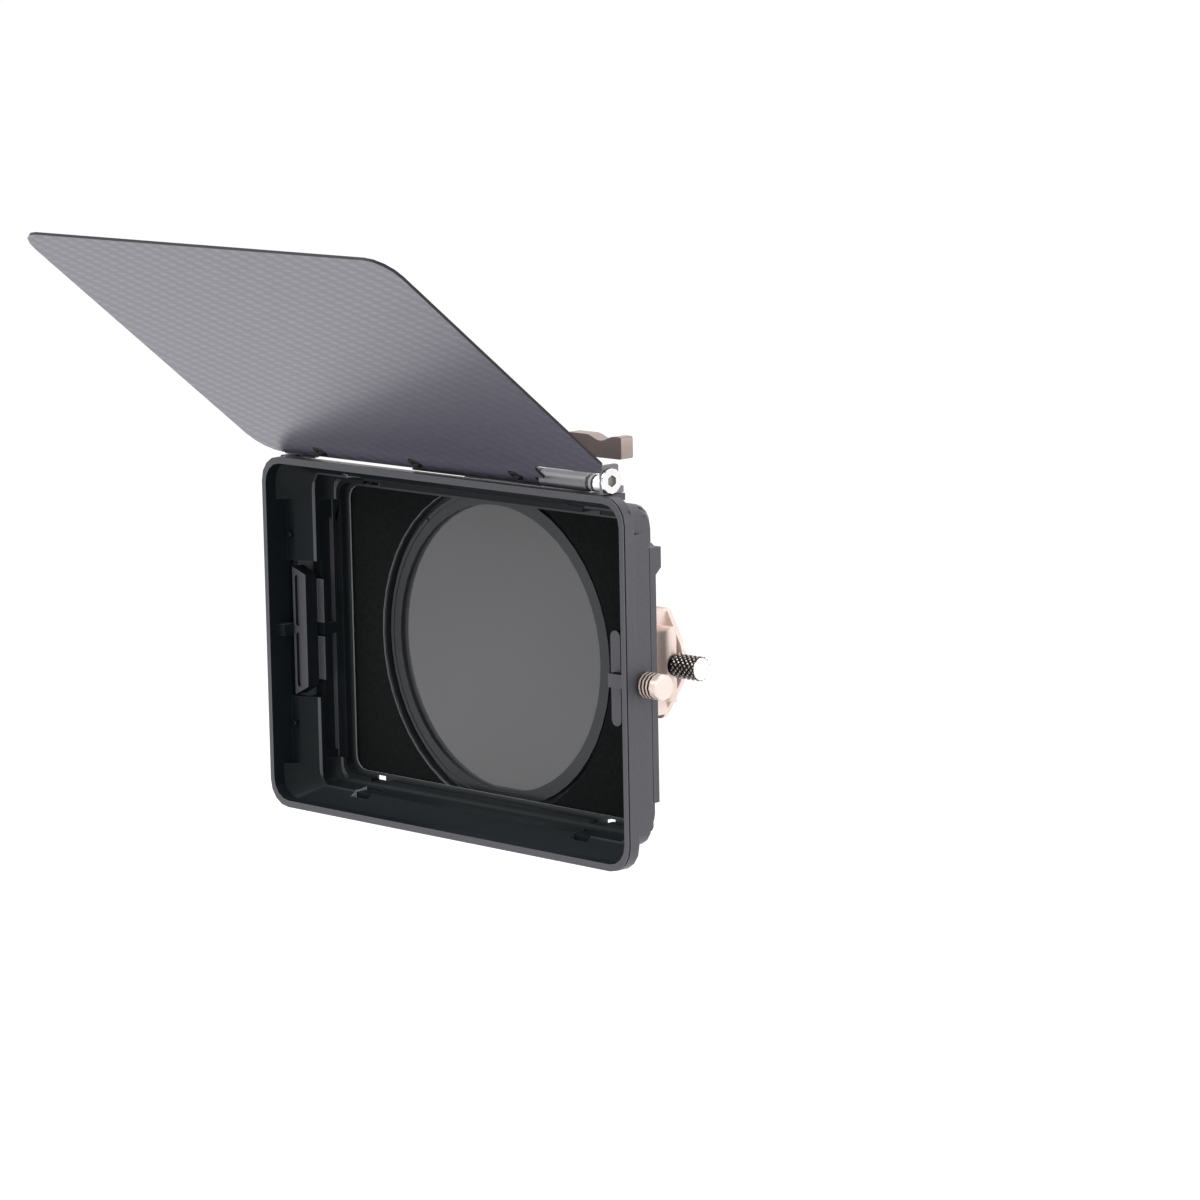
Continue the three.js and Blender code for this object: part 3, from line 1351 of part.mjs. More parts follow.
function hingeScrew(x, depth, seat) {
  return cut(
    join(
      rodZ(hingeHeadRadius, seat, seat + hingeHeadHeight, x, depth, smallSides),
      rodZ(hingeScrewRadius, hingeScrewTip, seat + hingeHeadHeight / 2, x, depth, smallSides)),
    rodZ(hingeHeadRadius / 2, seat + hingeHeadHeight / 2, seat + hingeHeadHeight + overrun, x, depth, 6));
}

function hingeScrews() {
  return [
    hingeScrew(hingeScrewX, hingeScrewDepth, bracketFootTop + seatGap),
    hingeScrew(-leftScrewX, leftScrewDepth, leftBracketTop - hingeHeadDrop + seatGap)];
}

// Assembly
piece('hood_frame', hoodFrame(), mouldedBlack);
piece('right_side_cover', sideCover(), mouldedBlack);
piece('left_side_cover', mirrorX(sideCover(mirrorX(slotBack(seatGap)))), mouldedBlack);
pieces('side_cover_screw', coverScrews(), anodisedBlack);
piece('mask_plate', maskPlate(), anodisedBlack);
piece('rear_housing', rearHousing(), mouldedBlack);
pieces('housing_screw', stageScrews(), anodisedBlack);
piece('clamp_collar', clampCollar(), anodisedBlack);
pieces('collar_screw', collarScrews(), anodisedBlack);
piece('clamp_block', clampBlock(), champagne);
pieces('clamp_block_screw', blockScrews(), anodisedBlack);
piece('clamp_thumbscrew', thumbscrew(), gunmetal);
piece('clamp_jaw', clampJaw(), rubberBlack);
piece('tray_frame', trayFrame(), anodisedBlack);
piece('tray_front_board', trayBoard(), flockedBlack);
piece('tray_handle', trayHandle(), bronze);
pieces('tray_handle_screw', handleScrews(), anodisedBlack);
piece('filter_base_ring', baseRing(), anodisedBlack);
piece('filter_turning_ring', turningRing(), anodisedBlack);
piece('filter_glass', filterGlass(), smokedGlass);
piece('glass_retaining_ring', glassRetainer(), anodisedBlack);
piece('right_filter_latch', rightLatch(), mouldedBlack);
piece('release_pull_pin', pullPin(), champagne);
piece('release_pin_spring', pinSpring(), springSteel);
piece('left_filter_latch', leftLatch(), mouldedBlack);
pieces('left_latch_spring', leftSprings(), springSteel);
piece('hinge_bracket_right', rightBracket(), gunmetal);
piece('hinge_bracket_left', leftBracket(), gunmetal);
pieces('hinge_bracket_screw', hingeScrews(), anodisedBlack);
piece('hinge_shaft', hingeShaft(), silver);
piece('hinge_seal_ring', hingeSeal(), rubberBlack);
piece('hinge_lock_screw', lockScrew(), silver);
piece('hinge_pin_left', leftHingePin(), springSteel);
piece('top_flag', flagPlate(), carbonFibre, flagGroup);
piece('flag_hinge_bar', flagBar(), anodisedBlack, flagGroup);
piece('flag_hinge_knuckle', flagKnuckle(), anodisedBlack, flagGroup);
piece('flag_hinge_barrel', hingeBarrel(), gunmetal, flagGroup);
pieces('flag_screw', flagScrews(), anodisedBlack, flagGroup);

flagGroup.position.set(0, hingeDepth, hingeHeight);
flagGroup.rotation.x = -THREE.MathUtils.degToRad(flagTilt);
assembly.add(flagGroup);
assembly.position.y = -overallDepth;

const matteBox = new THREE.Group();
matteBox.add(assembly);
export default matteBox;
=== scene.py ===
"""A clamp-on matte box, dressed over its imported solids."""
import json
import math

import bmesh
import bpy
from mathutils import Matrix, Vector


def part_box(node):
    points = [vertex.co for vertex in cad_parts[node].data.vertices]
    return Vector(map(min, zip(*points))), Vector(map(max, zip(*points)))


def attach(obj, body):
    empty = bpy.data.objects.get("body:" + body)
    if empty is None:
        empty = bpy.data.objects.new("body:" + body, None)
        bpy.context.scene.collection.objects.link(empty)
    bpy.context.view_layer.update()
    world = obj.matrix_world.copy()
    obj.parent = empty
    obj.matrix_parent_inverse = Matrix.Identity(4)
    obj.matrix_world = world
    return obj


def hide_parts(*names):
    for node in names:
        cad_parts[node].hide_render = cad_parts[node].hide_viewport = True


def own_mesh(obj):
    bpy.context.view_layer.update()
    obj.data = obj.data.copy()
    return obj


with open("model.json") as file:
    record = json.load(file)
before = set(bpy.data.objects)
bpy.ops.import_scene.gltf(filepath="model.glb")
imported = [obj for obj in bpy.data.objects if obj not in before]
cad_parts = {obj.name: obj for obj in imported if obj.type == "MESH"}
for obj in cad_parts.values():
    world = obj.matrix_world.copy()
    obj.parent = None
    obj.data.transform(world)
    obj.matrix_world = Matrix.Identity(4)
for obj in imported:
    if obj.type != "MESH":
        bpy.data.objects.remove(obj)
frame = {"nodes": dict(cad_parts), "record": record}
NODES = frame["nodes"]
BODY_OF = {
    node: body
    for body, members in frame["record"]["behaviour"]["bodies"].items()
    for node in members
}
SLOT_OF = {row["node"]: row["material_slot"] for row in frame["record"]["subparts"]}
MM = 0.001
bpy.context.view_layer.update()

# Sizes in millimetres. Depths count back from the hood's rim, sides and tops from its middle.
OVERALL_DEPTH = 45.0
RIM_DEPTH = 0.25
LEDGE_DEPTH = 11.8
SLOT_END = 19.0
RECESS_BACK = 21.9
THROAT_END = 22.5
WINDOW_EDGE_DEPTHS = (22.8, 27.8)
MOUTH_SIDE, MOUTH_TOP = 83.3, 56.9
WINDOW_SIDE, WINDOW_TOP = 67.6, 48.3
LEDGE_TOP = 49.5
BOARD_HOLE_RADIUS = 54.4
CHANNEL_ENDS = (-57.0, -54.5)

# The recess walls draw in by NIP beyond RECESS_SIDE, and by less and less towards NIP_FROM.
NIP = 3.0
NIP_FROM = 69.6
NIP_TOP = 54.0
RECESS_SIDE = 75.0
RECESS_OUTER = 77.6

# The flag: its tilt, the width of a tow and of its strands, the tows in one repeat, and how a
# tow's crown falls off along and across it, each by a scale and a power
FLAG_TILT = math.radians(38.5)
TOW_WIDTH = 2.06
STRAND_PITCH = 0.28
TWILL_REPEAT = 4.0
CROWN_ALONG = (0.9, 2.4)
CROWN_ACROSS = (1.9, 2.2)
CROWN_END = 1.3

# The pull pin's first crest, the pitch of its ridges, its plain collar and its end face
PIN_CREST = 86.40
PIN_PITCH = 1.505
PIN_COLLAR = 90.70
PIN_FACE = 93.5

# The lock screw's socket and the shaft's pale washer
SOCKET_RADIUS = 1.9
SOCKET_SINK = 0.2
WASHER_SIDES = (68.7, 69.7)

# The thumbscrew, along X
KNOB_START = 67.5
KNOB_END = 79.6
KNOB_RADIUS = 4.1
KNOB_CHAMFER = 0.5
KNOB_COLLAR = 1.6
KNOB_Y = -5.4
KNOB_HUB = 0.02
SHANK_RADIUS = 1.4
SHANK_TIP = 51.7
SHANK_SINK = 0.2
SHANK_SIDES = 24
KNURL_DEEP = 0.5
KNURL_STARTS = 14
KNURL_FINE = 8
KNURL_CREST = 0.3
KNURL_TONE_RADIUS = 3.96
DIAMOND_LENGTH = 2.0

# Limits by which faces are told apart: parts of a unit normal, then millimetres
FRONT_FACING = -0.8
SIDE_FACING = 0.8
HALF_TURNED = 0.5
BACK_TURNED = 0.3
BARELY = 0.05
NEAR_LEDGE = 0.3
NEAR_SLOT_END = 0.15

# Skins
WELD = 0.002
FLAT_ANGLE = math.radians(0.6)
CREASE = math.radians(34.0)
KNOB_CREASE = math.radians(20.0)
BEVEL_SEGMENTS = 2
PLAIN_BEVEL = 0.15
BEVELS = {
    "hood_frame": 0.35, "right_side_cover": 0.4, "left_side_cover": 0.4, "rear_housing": 0.4,
    "mask_plate": 0.12, "tray_front_board": 0.12, "top_flag": 0.22, "clamp_block": 0.4,
    "tray_handle": 0.35, "left_filter_latch": 0.25, "right_filter_latch": 0.35,
    "filter_turning_ring": 0.1, "filter_base_ring": 0.1, "filter_glass": 0.1,
    "release_pull_pin": 0.15,
}
# Each spring: the joint that presses it, where its outer end rests, and the share of length left
SPRINGS = {
    "release_pin_spring": ("pin_pull", 83.0, 0.33),
    "left_latch_spring_1": ("left_latch_slide", -83.04, 0.60),
    "left_latch_spring_2": ("left_latch_slide", -83.04, 0.60),
}

# Studio, in metres
WHITE = (1.0, 1.0, 1.0, 1.0)
WORLD_LIGHT = 0.75
BACKDROP = 1.0
AIM = (0, -0.02, 0)
LAMPS = {
    "key": ((-0.9, -1.3, 1.5), (1.2, 1.2), 22.0),
    "fill": ((1.4, -0.9, 0.7), (1.0, 1.0), 7.0),
    "side": ((1.7, 0.9, 0.5), (1.2, 1.0), 7.0),
    "top": ((0.1, 0.5, 1.8), (1.6, 1.0), 16.0),
}
FLOOR_REACH = 20.0
FLOOR_LEVEL = -0.30
FLOOR_COLOR = (0.92, 0.92, 0.93, 1.0)
FLOOR_GLOW = 1.25
FLOOR_GLOW_SHARE = 0.55

# Camera
IMAGE = 1200.0
SENSOR = 36.0
FOCAL_PIXELS = 4879.4
CAMERA_PLACE = (1.1402, -1.0861, 0.2687)
YAW, PITCH, ROLL = (math.radians(angle) for angle in (45.672, 9.23, -1.085))

forward = Vector((
    -math.sin(YAW) * math.cos(PITCH), math.cos(YAW) * math.cos(PITCH), -math.sin(PITCH)))
level_right = forward.cross(Vector((0, 0, 1))).normalized()
level_up = level_right.cross(forward)
right = math.cos(ROLL) * level_right + math.sin(ROLL) * level_up
up = -math.sin(ROLL) * level_right + math.cos(ROLL) * level_up

camera_data = bpy.data.cameras.new("camera")
camera_data.sensor_fit = "HORIZONTAL"
camera_data.sensor_width = SENSOR
camera_data.lens = SENSOR * FOCAL_PIXELS / IMAGE
camera_data.clip_start = 0.01
camera_data.clip_end = 60.0
camera = bpy.data.objects.new("camera", camera_data)
bpy.context.scene.collection.objects.link(camera)
turn = Matrix((right, up, -forward)).transposed().to_4x4()
camera.matrix_world = Matrix.Translation(CAMERA_PLACE) @ turn
bpy.context.scene.camera = camera


# Shader helpers
class Shader:
    """A material's node tree, with short ways to add and link nodes."""

    def __init__(self, name):
        self.material = bpy.data.materials.new(name)
        self.material.use_nodes = True
        self.tree = self.material.node_tree
        self.tree.nodes.clear()
        self.output = self.add("ShaderNodeOutputMaterial")
        self.bsdf = self.add("ShaderNodeBsdfPrincipled")
        self.link(self.bsdf.outputs["BSDF"], self.output.inputs["Surface"])

    def add(self, kind, **values):
        node = self.tree.nodes.new(kind)
        for key, value in values.items():
            setattr(node, key, value)
        return node

    def link(self, source, target):
        self.tree.links.new(source, target)

    def set(self, node, socket, value):
        """Links a socket, or gives it a constant."""
        if isinstance(value, bpy.types.NodeSocket):
            self.link(value, node.inputs[socket])
        else:
            node.inputs[socket].default_value = value

    def math(self, operation, *values):
        node = self.add("ShaderNodeMath", operation=operation)
        for index, value in enumerate(values):
            self.set(node, index, value)
        return node.outputs[0]

    def place(self, rotation=(0, 0, 0)):
        """The object's own coordinates, turned."""
        coordinates = self.add("ShaderNodeTexCoord")
        mapping = self.add("ShaderNodeMapping")
        self.link(coordinates.outputs["Object"], mapping.inputs["Vector"])
        mapping.inputs["Rotation"].default_value = rotation
        return mapping.outputs["Vector"]

    def axes(self, vector):
        """The X, Y and Z of a vector, by name."""
        parts = self.add("ShaderNodeSeparateXYZ")
        self.link(vector, parts.inputs[0])
        return parts.outputs

    def noise(self, vector, scale, detail=2.0, roughness=0.5):
        node = self.add("ShaderNodeTexNoise")
        self.link(vector, node.inputs["Vector"])
        node.inputs["Scale"].default_value = scale
        node.inputs["Detail"].default_value = detail
        node.inputs["Roughness"].default_value = roughness
        return node.outputs["Fac"]

    def grain(self, vector, size, detail=2.0, roughness=0.5):
        """Noise whose cells are this many millimetres wide."""
        return self.noise(vector, 1.0 / (size * MM), detail, roughness)

    def spread(self, value, low, high, to_low=0.0, to_high=1.0):
        """Maps low to high onto another range, and stops at its ends."""
        node = self.add("ShaderNodeMapRange", clamp=True)
        for socket, number in zip(("Value", "From Min", "From Max", "To Min", "To Max"),
                                  (value, low, high, to_low, to_high)):
            self.set(node, socket, number)
        return node.outputs["Result"]

    def mix(self, factor, first, second):
        node = self.add("ShaderNodeMix", data_type="RGBA")
        self.set(node, 0, factor)
        for index, color in ((6, first), (7, second)):
            is_socket = isinstance(color, bpy.types.NodeSocket)
            self.set(node, index, color if is_socket else (*color, 1.0))
        return node.outputs[2]

    def bump(self, height, depth, strength=1.0):
        """A bump of this many millimetres."""
        node = self.add("ShaderNodeBump")
        self.link(height, node.inputs["Height"])
        node.inputs["Distance"].default_value = depth * MM
        node.inputs["Strength"].default_value = strength
        return node.outputs["Normal"]

    def finish(self, **sockets):
        """Sets the surface shader's sockets, named with _ for a space."""
        for name, value in sockets.items():
            self.set(self.bsdf, name.replace("_", " "), value)
        return self.material


# The ranges in which most of a noise lies
BROAD = (0.3, 0.7)
FINE = (0.35, 0.65)
# The grain of nylon and metal, and the width of the highlight painted along their edges, in
# millimetres
NYLON_GRAIN, METAL_GRAIN = 0.35, 0.12
NYLON_EDGE, METAL_EDGE = 0.35, 0.2


def scaled(color, share):
    return tuple(min(1.0, channel * share) for channel in color)


def edge_mask(shader, radius):
    """1 along sharp edges, within this many millimetres, and 0 on open faces."""
    bevel = shader.add("ShaderNodeBevel", samples=6)
    bevel.inputs["Radius"].default_value = radius * MM
    geometry = shader.add("ShaderNodeNewGeometry")
    dot = shader.add("ShaderNodeVectorMath", operation="DOT_PRODUCT")
    shader.link(bevel.outputs["Normal"], dot.inputs[0])
    shader.link(geometry.outputs["Normal"], dot.inputs[1])
    bent, straight = 0.90, 0.995
    return shader.spread(dot.outputs["Value"], bent, straight, 1.0, 0.0)


def moulded(name, color, roughness, edge=1.8, level=0.45):
    """Glass-filled nylon with a fine spark-eroded grain, and a highlight painted along its sharp
    edges.
    """
    s = Shader(name)
    where = s.place()
    fine = s.grain(where, NYLON_GRAIN, detail=3.0, roughness=0.6)
    broad = s.noise(where, 45.0, detail=3.0, roughness=0.55)
    tone = s.mix(s.spread(fine, 0.35, 0.7), scaled(color, 0.82), scaled(color, 1.2))
    # A painted highlight: the sharp edges are lightened as if lit.
    painted_edge_highlight = s.math("MULTIPLY", edge_mask(s, NYLON_EDGE), 0.55)
    tone = s.mix(painted_edge_highlight, tone, scaled(color, edge))
    uneven = s.math("ADD", s.math("MULTIPLY", fine, 0.5), s.math("MULTIPLY", broad, 0.5))
    rough = s.spread(uneven, *BROAD, roughness - 0.07, roughness + 0.07)
    return s.finish(Base_Color=tone, Roughness=rough, Specular_IOR_Level=level,
                    Normal=s.bump(fine, 0.02))


def anodised(name, color, roughness, metallic):
    """Bead-blasted and anodised aluminium, with a highlight painted along its edges."""
    s = Shader(name)
    where = s.place()
    fine = s.grain(where, METAL_GRAIN, roughness=0.6)
    broad = s.noise(where, 120.0, detail=3.0)
    tone = s.mix(s.spread(broad, *BROAD), scaled(color, 0.93), scaled(color, 1.06))
    # A painted highlight: the sharp edges are lightened as if lit.
    metal_edge_highlight = s.math("MULTIPLY", edge_mask(s, METAL_EDGE), 0.5)
    tone = s.mix(metal_edge_highlight, tone, scaled(color, 1.25))
    rough = s.spread(fine, *FINE, roughness - 0.05, roughness + 0.06)
    return s.finish(Base_Color=tone, Roughness=rough, Metallic=metallic,
                    Normal=s.bump(fine, 0.006))


def turned(name, color, roughness, pitch=0.12):
    """Metal with the fine rings that a lathe leaves along X."""
    s = Shader(name)
    where = s.place()
    along = s.axes(where)["X"]
    rings = s.math("SINE", s.math("MULTIPLY", along, 2 * math.pi / (pitch * MM)))
    broad = s.noise(where, 300.0)
    tone = s.mix(s.spread(broad, *BROAD), scaled(color, 0.95), scaled(color, 1.04))
    rough = s.spread(rings, -1.0, 1.0, roughness - 0.04, roughness + 0.05)
    return s.finish(Base_Color=tone, Roughness=rough, Metallic=1.0,
                    Normal=s.bump(rings, 0.0015))


def flocked(name, color):
    """Short black flock: no gloss, a light mottle and a velvet sheen."""
    s = Shader(name)
    where = s.place()
    fibres = s.grain(where, 0.22, detail=3.0, roughness=0.75)
    clumps = s.grain(where, 1.6, roughness=0.6)
    mixed = s.math("ADD", s.math("MULTIPLY", fibres, 0.65), s.math("MULTIPLY", clumps, 0.35))
    tone = s.mix(s.spread(mixed, 0.38, 0.66), scaled(color, 0.5), scaled(color, 2.0))
    return s.finish(Base_Color=tone, Roughness=1.0, Specular_IOR_Level=0.04, Sheen_Weight=0.05,
                    Sheen_Roughness=0.5, Normal=s.bump(mixed, 0.12))


def woven(name, low, high):
    """Two-by-two carbon twill under satin lacquer.

    Each tow floats over two others, one tow further along in each row. The crowns of the tows
    that run one way are painted lighter, as a highlight.
    """
    s = Shader(name)
    where = s.place(rotation=(FLAG_TILT, 0, 0))
    parts = s.axes(where)
    columns, rows = (s.math("DIVIDE", parts[axis], TOW_WIDTH * MM) for axis in "XY")

    def crowns(along, across, middle):
        """1 on the crowns of the tows that run one way, and 0 at their edges."""
        place = s.math("SUBTRACT", along, s.math("FLOOR", across))
        place = s.math("FLOORED_MODULO", place, TWILL_REPEAT)
        place = s.math("ABSOLUTE", s.math("SUBTRACT", place, middle))
        side = s.math("ABSOLUTE", s.math("SUBTRACT", s.math("FRACT", across), 0.5))
        falls = [s.math("POWER", s.math("MULTIPLY", away, scale), power)
                 for away, (scale, power) in ((place, CROWN_ALONG), (side, CROWN_ACROSS))]
        return s.spread(s.math("ADD", *falls), 0.0, CROWN_END, 1.0, 0.0)

    crown = crowns(columns, rows, 1.0)
    crossing = crowns(rows, columns, 2.0)
    strands = s.math("SINE", s.math("MULTIPLY", parts["Y"], 2 * math.pi / (STRAND_PITCH * MM)))
    uneven = s.grain(where, 4.0)
    # A painted highlight on the crowns of the tows that run one way, a little uneven.
    crown_highlight = s.math("MULTIPLY", crown, s.spread(uneven, *BROAD, 0.7, 1.0))
    tone = s.mix(crown_highlight, low, high)
    rough = s.spread(crown, 0.0, 1.0, 0.40, 0.32)
    height = s.math("ADD", s.math("ADD", crown, s.math("MULTIPLY", crossing, 0.5)),
                    s.math("MULTIPLY", strands, 0.03))
    return s.finish(Base_Color=tone, Roughness=rough, Specular_IOR_Level=0.8,
                    Specular_Tint=(0.90, 0.88, 1.0, 1.0), Coat_Weight=0.35, Coat_Roughness=0.18,
                    Normal=s.bump(height, 0.04, 0.22))


def filter_optic(name, low, high):
    """Neutral grey filter glass: dark in depth, with a coated surface."""
    s = Shader(name)
    film = s.noise(s.place(), 9.0)
    tone = s.mix(s.spread(film, *BROAD), low, high)
    return s.finish(Base_Color=tone, Roughness=0.12, Specular_IOR_Level=0.55, Coat_Weight=0.3,
                    Coat_Roughness=0.05)


def rubber(name, color):
    """Dull rubber with a fine grain."""
    s = Shader(name)
    fine = s.grain(s.place(), 0.4, detail=3.0, roughness=0.6)
    tone = s.mix(fine, scaled(color, 0.8), scaled(color, 1.3))
    return s.finish(Base_Color=tone, Roughness=s.spread(fine, *BROAD, 0.75, 0.92),
                    Normal=s.bump(fine, 0.03))


def knurled(name, crest, groove):
    """Metal whose crests are painted pale as a highlight, and whose cut grooves, nearer the
    thumbscrew's axis, are painted dark as shade.
    """
    s = Shader(name)
    where = s.place()
    parts = s.axes(where)
    over_y = s.math("SUBTRACT", parts["Y"], KNOB_Y * MM)
    over_z = parts["Z"]
    away = s.math("SQRT", s.math("ADD", s.math("MULTIPLY", over_y, over_y),
                                 s.math("MULTIPLY", over_z, over_z)))
    soft = 0.08
    # Painted highlight on the crests and painted shade in the grooves, split by the distance
    # from the axis.
    crest_highlight = s.spread(away, (KNURL_TONE_RADIUS - soft) * MM, (KNURL_TONE_RADIUS + soft) * MM)
    fine = s.grain(where, METAL_GRAIN, roughness=0.6)
    tone = s.mix(crest_highlight, groove, crest)
    tone = s.mix(s.math("MULTIPLY", fine, 0.1), tone, scaled(crest, 0.8))
    return s.finish(Base_Color=tone, Roughness=s.spread(fine, *FINE, 0.24, 0.34),
                    Metallic=1.0, Normal=s.bump(fine, 0.004))


def ridged(name, crest, groove):
    """The pull pin's ridges: pale crests between grooves painted dark as shade, then a plain
    collar.
    """
    s = Shader(name)
    where = s.place()
    along = s.axes(where)["X"]
    turns = s.math("DIVIDE", s.math("SUBTRACT", along, PIN_CREST * MM), PIN_PITCH * MM)
    wave = s.math("COSINE", s.math("MULTIPLY", turns, 2 * math.pi))
    # Painted shade in the grooves, between the crests and before the collar.
    pale = s.math("MAXIMUM", s.spread(wave, 0.1, 0.5),
                  s.math("GREATER_THAN", along, PIN_COLLAR * MM))
    fine = s.grain(where, METAL_GRAIN, roughness=0.6)
    tone = s.mix(pale, groove, s.mix(fine, crest, scaled(crest, 0.9)))
    return s.finish(Base_Color=tone, Roughness=s.spread(fine, *FINE, 0.28, 0.38), Metallic=0.4,
                    Normal=s.bump(fine, 0.004))


def striped(name, dark, light, axis, start, end, both_sides=False):
    """A dark piece with a pale band between two places along an axis, in millimetres."""
    s = Shader(name)
    where = s.place()
    along = s.axes(where)[axis]
    if both_sides:
        along = s.math("ABSOLUTE", along)
    inner = s.math("GREATER_THAN", along, start * MM)
    outer = s.math("LESS_THAN", along, end * MM)
    fine = s.grain(where, 0.3)
    tone = s.mix(s.math("MULTIPLY", inner, outer), dark, light)
    tone = s.mix(s.math("MULTIPLY", fine, 0.15), tone, scaled(light, 0.7))
    return s.finish(Base_Color=tone, Roughness=s.spread(fine, *BROAD, 0.40, 0.55),
                    Normal=s.bump(fine, 0.01))


# Materials: one for each slot of the record, then those of single faces
CHAMPAGNE = (0.80, 0.66, 0.60)
LOOKS = {
    "moulded_black": moulded("moulded_black", (0.057, 0.057, 0.066), 0.44),
    "anodised_black": anodised("anodised_black", (0.018, 0.020, 0.023), 0.42, 0.2),
    "screw_black": anodised("screw_black", (0.045, 0.045, 0.048), 0.35, 0.9),
    "flocked_black": flocked("flocked_black", (0.0045, 0.0056, 0.0054)),
    "carbon_fibre": woven("carbon_fibre", (0.052, 0.049, 0.072), (0.076, 0.072, 0.102)),
    "champagne_anodised": anodised("champagne_anodised", CHAMPAGNE, 0.36, 0.45),
    "bronze_anodised": anodised("bronze_anodised", (0.33, 0.265, 0.245), 0.36, 0.8),
    "gunmetal": anodised("gunmetal", (0.17, 0.17, 0.18), 0.42, 0.8),
    "bright_steel": turned("bright_steel", (0.80, 0.79, 0.80), 0.20),
    "spring_steel": turned("spring_steel", (0.55, 0.56, 0.58), 0.28),
    "smoked_glass": filter_optic("smoked_glass", (0.050, 0.051, 0.054), (0.062, 0.062, 0.066)),
    "black_rubber": rubber("black_rubber", (0.012, 0.012, 0.012)),
}
# The hollow's faces and the latches' sides: the nylon is painted far darker as shade, with a
# strong highlight painted along their edges.
SHADED_INSIDE = moulded("moulded_inside_shaded", (0.0060, 0.0084, 0.0098), 0.55, edge=4.0, level=0.14)
# The ledge keeps the nylon's pale tone from its middle, which the band starts below, to its top,
# and is painted dark with shade below that.
LEDGE_SHADED_BELOW = striped("moulded_ledge_shaded_below", (0.0080, 0.0104, 0.0118), (0.062, 0.062, 0.071),
                "Z", -1.0, LEDGE_TOP, both_sides=True)
# The hollow's upward faces: painted shade, less deep than on the walls as if lit from above,
# with a painted edge highlight.
SHADED_FLOOR = moulded("moulded_floor_shaded", (0.0115, 0.0150, 0.0168), 0.52, edge=3.0, level=0.18)
# The channels' end walls: the black nylon is painted pale grey as a highlight, where light falls
# on them.
LIT_CHANNEL_END = moulded("moulded_stop_lit", (0.30, 0.30, 0.33), 0.44)
# The window's edge in the mask plate: a pale band painted on it as a highlight, with a dark tone
# beyond it.
WINDOW_EDGE_HIGHLIGHT = striped("window_edge_highlight", (0.010, 0.011, 0.012), (0.27, 0.28, 0.29),
                    "Y", *(depth - OVERALL_DEPTH for depth in WINDOW_EDGE_DEPTHS))
# The edge of the hole in the flocked board: painted pale grey as a highlight.
HOLE_EDGE_HIGHLIGHT = moulded("hole_edge_highlight", (0.16, 0.17, 0.18), 0.44)
# The pull pin: its grooves are painted dark as shade.
RIDGED = ridged("ridged_champagne", CHAMPAGNE, (0.030, 0.014, 0.010))
# The thumbscrew: its crests are painted near white as a highlight, and its grooves are painted
# dark as shade.
KNURLED = knurled("knurled_bronze", (0.86, 0.79, 0.76), (0.028, 0.020, 0.018))
HEX_SOCKET = anodised("hex_socket", (0.20, 0.18, 0.165), 0.40, 0.6)
POLISHED = anodised("polished_shaft", (0.88, 0.88, 0.89), 0.28, 0.45)
KNOB_FACE = turned("knob_face", (0.90, 0.86, 0.83), 0.24, pitch=0.2)
SEAL = striped("washer_seal", (0.012, 0.012, 0.012), (0.26, 0.26, 0.26), "X", *WASHER_SIDES)
FLAG_EDGE = moulded("flag_edge", (0.009, 0.009, 0.010), 0.5, edge=4.0, level=0.3)


# Tests that pick the faces of a node, from a face's centre and normal
def depth_of(place):
    """How far behind the rim a place lies, in millimetres."""
    return place.y / MM + OVERALL_DEPTH


def outwards(slope, side):
    """A part of a normal, counted as positive where it points away from the middle."""
    return math.copysign(slope, slope * side)


def on_side_ledge(centre, normal):
    """True on the narrow ledges beside the recess, and on the rear ends of its light slots."""
    if normal.y > FRONT_FACING or not WINDOW_SIDE * MM < abs(centre.x) < MOUTH_SIDE * MM:
        return False
    depth = depth_of(centre)
    return abs(depth - LEDGE_DEPTH) < NEAR_LEDGE or abs(depth - SLOT_END) < NEAR_SLOT_END


def in_hood(centre, normal):
    """True on the faces of the hood's mouth, funnel and recess that look into its hollow."""
    if not RIM_DEPTH < depth_of(centre) < THROAT_END:
        return False
    if abs(centre.x) > MOUTH_SIDE * MM or abs(centre.z) > MOUTH_TOP * MM:
        return False
    if normal.y < FRONT_FACING:
        return not on_side_ledge(centre, normal)
    outward = outwards(normal.x, centre.x) + outwards(normal.z, centre.z)
    return normal.y < BACK_TURNED and outward < -BARELY


def on_floor(centre, normal):
    """True on the lower inside faces of the hood, which look up."""
    return normal.z > HALF_TURNED and in_hood(centre, normal)


def on_channel_end(centre, normal):
    """True on the walls that close the left ends of the light-trap channels."""
    start, end = CHANNEL_ENDS
    return (normal.x > SIDE_FACING and start * MM < centre.x < end * MM
            and depth_of(centre) < SLOT_END and abs(centre.z) > WINDOW_TOP * MM)


def on_window_edge(centre, normal):
    """True on the thin edge of the window in the mask plate."""
    return (abs(normal.y) < HALF_TURNED and abs(centre.x) < WINDOW_SIDE * MM
            and abs(centre.z) < WINDOW_TOP * MM)


def in_board_hole(centre, normal):
    """True on the thin edge of the hole in the tray's front board."""
    return (abs(normal.y) < HALF_TURNED
            and math.hypot(centre.x, centre.z) < BOARD_HOLE_RADIUS * MM)


def in_socket(centre, normal):
    """True on the hexagon socket of the lock screw."""
    low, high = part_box("hinge_lock_screw")
    middle = [(low[axis] + high[axis]) / 2 for axis in range(3)]
    away = math.hypot(centre.y - middle[1], centre.z - middle[2])
    return away < SOCKET_RADIUS * MM and middle[0] < centre.x < high[0] - SOCKET_SINK * MM


def on_flag_edge(centre, normal):
    """True on the thin cut edge of the flag's sheet."""
    facing = normal.y * math.sin(FLAG_TILT) + normal.z * math.cos(FLAG_TILT)
    return abs(facing) < HALF_TURNED


def before_pin_face(centre, normal):
    return centre.x < PIN_FACE * MM


def not_front(centre, normal):
    return normal.y > FRONT_FACING


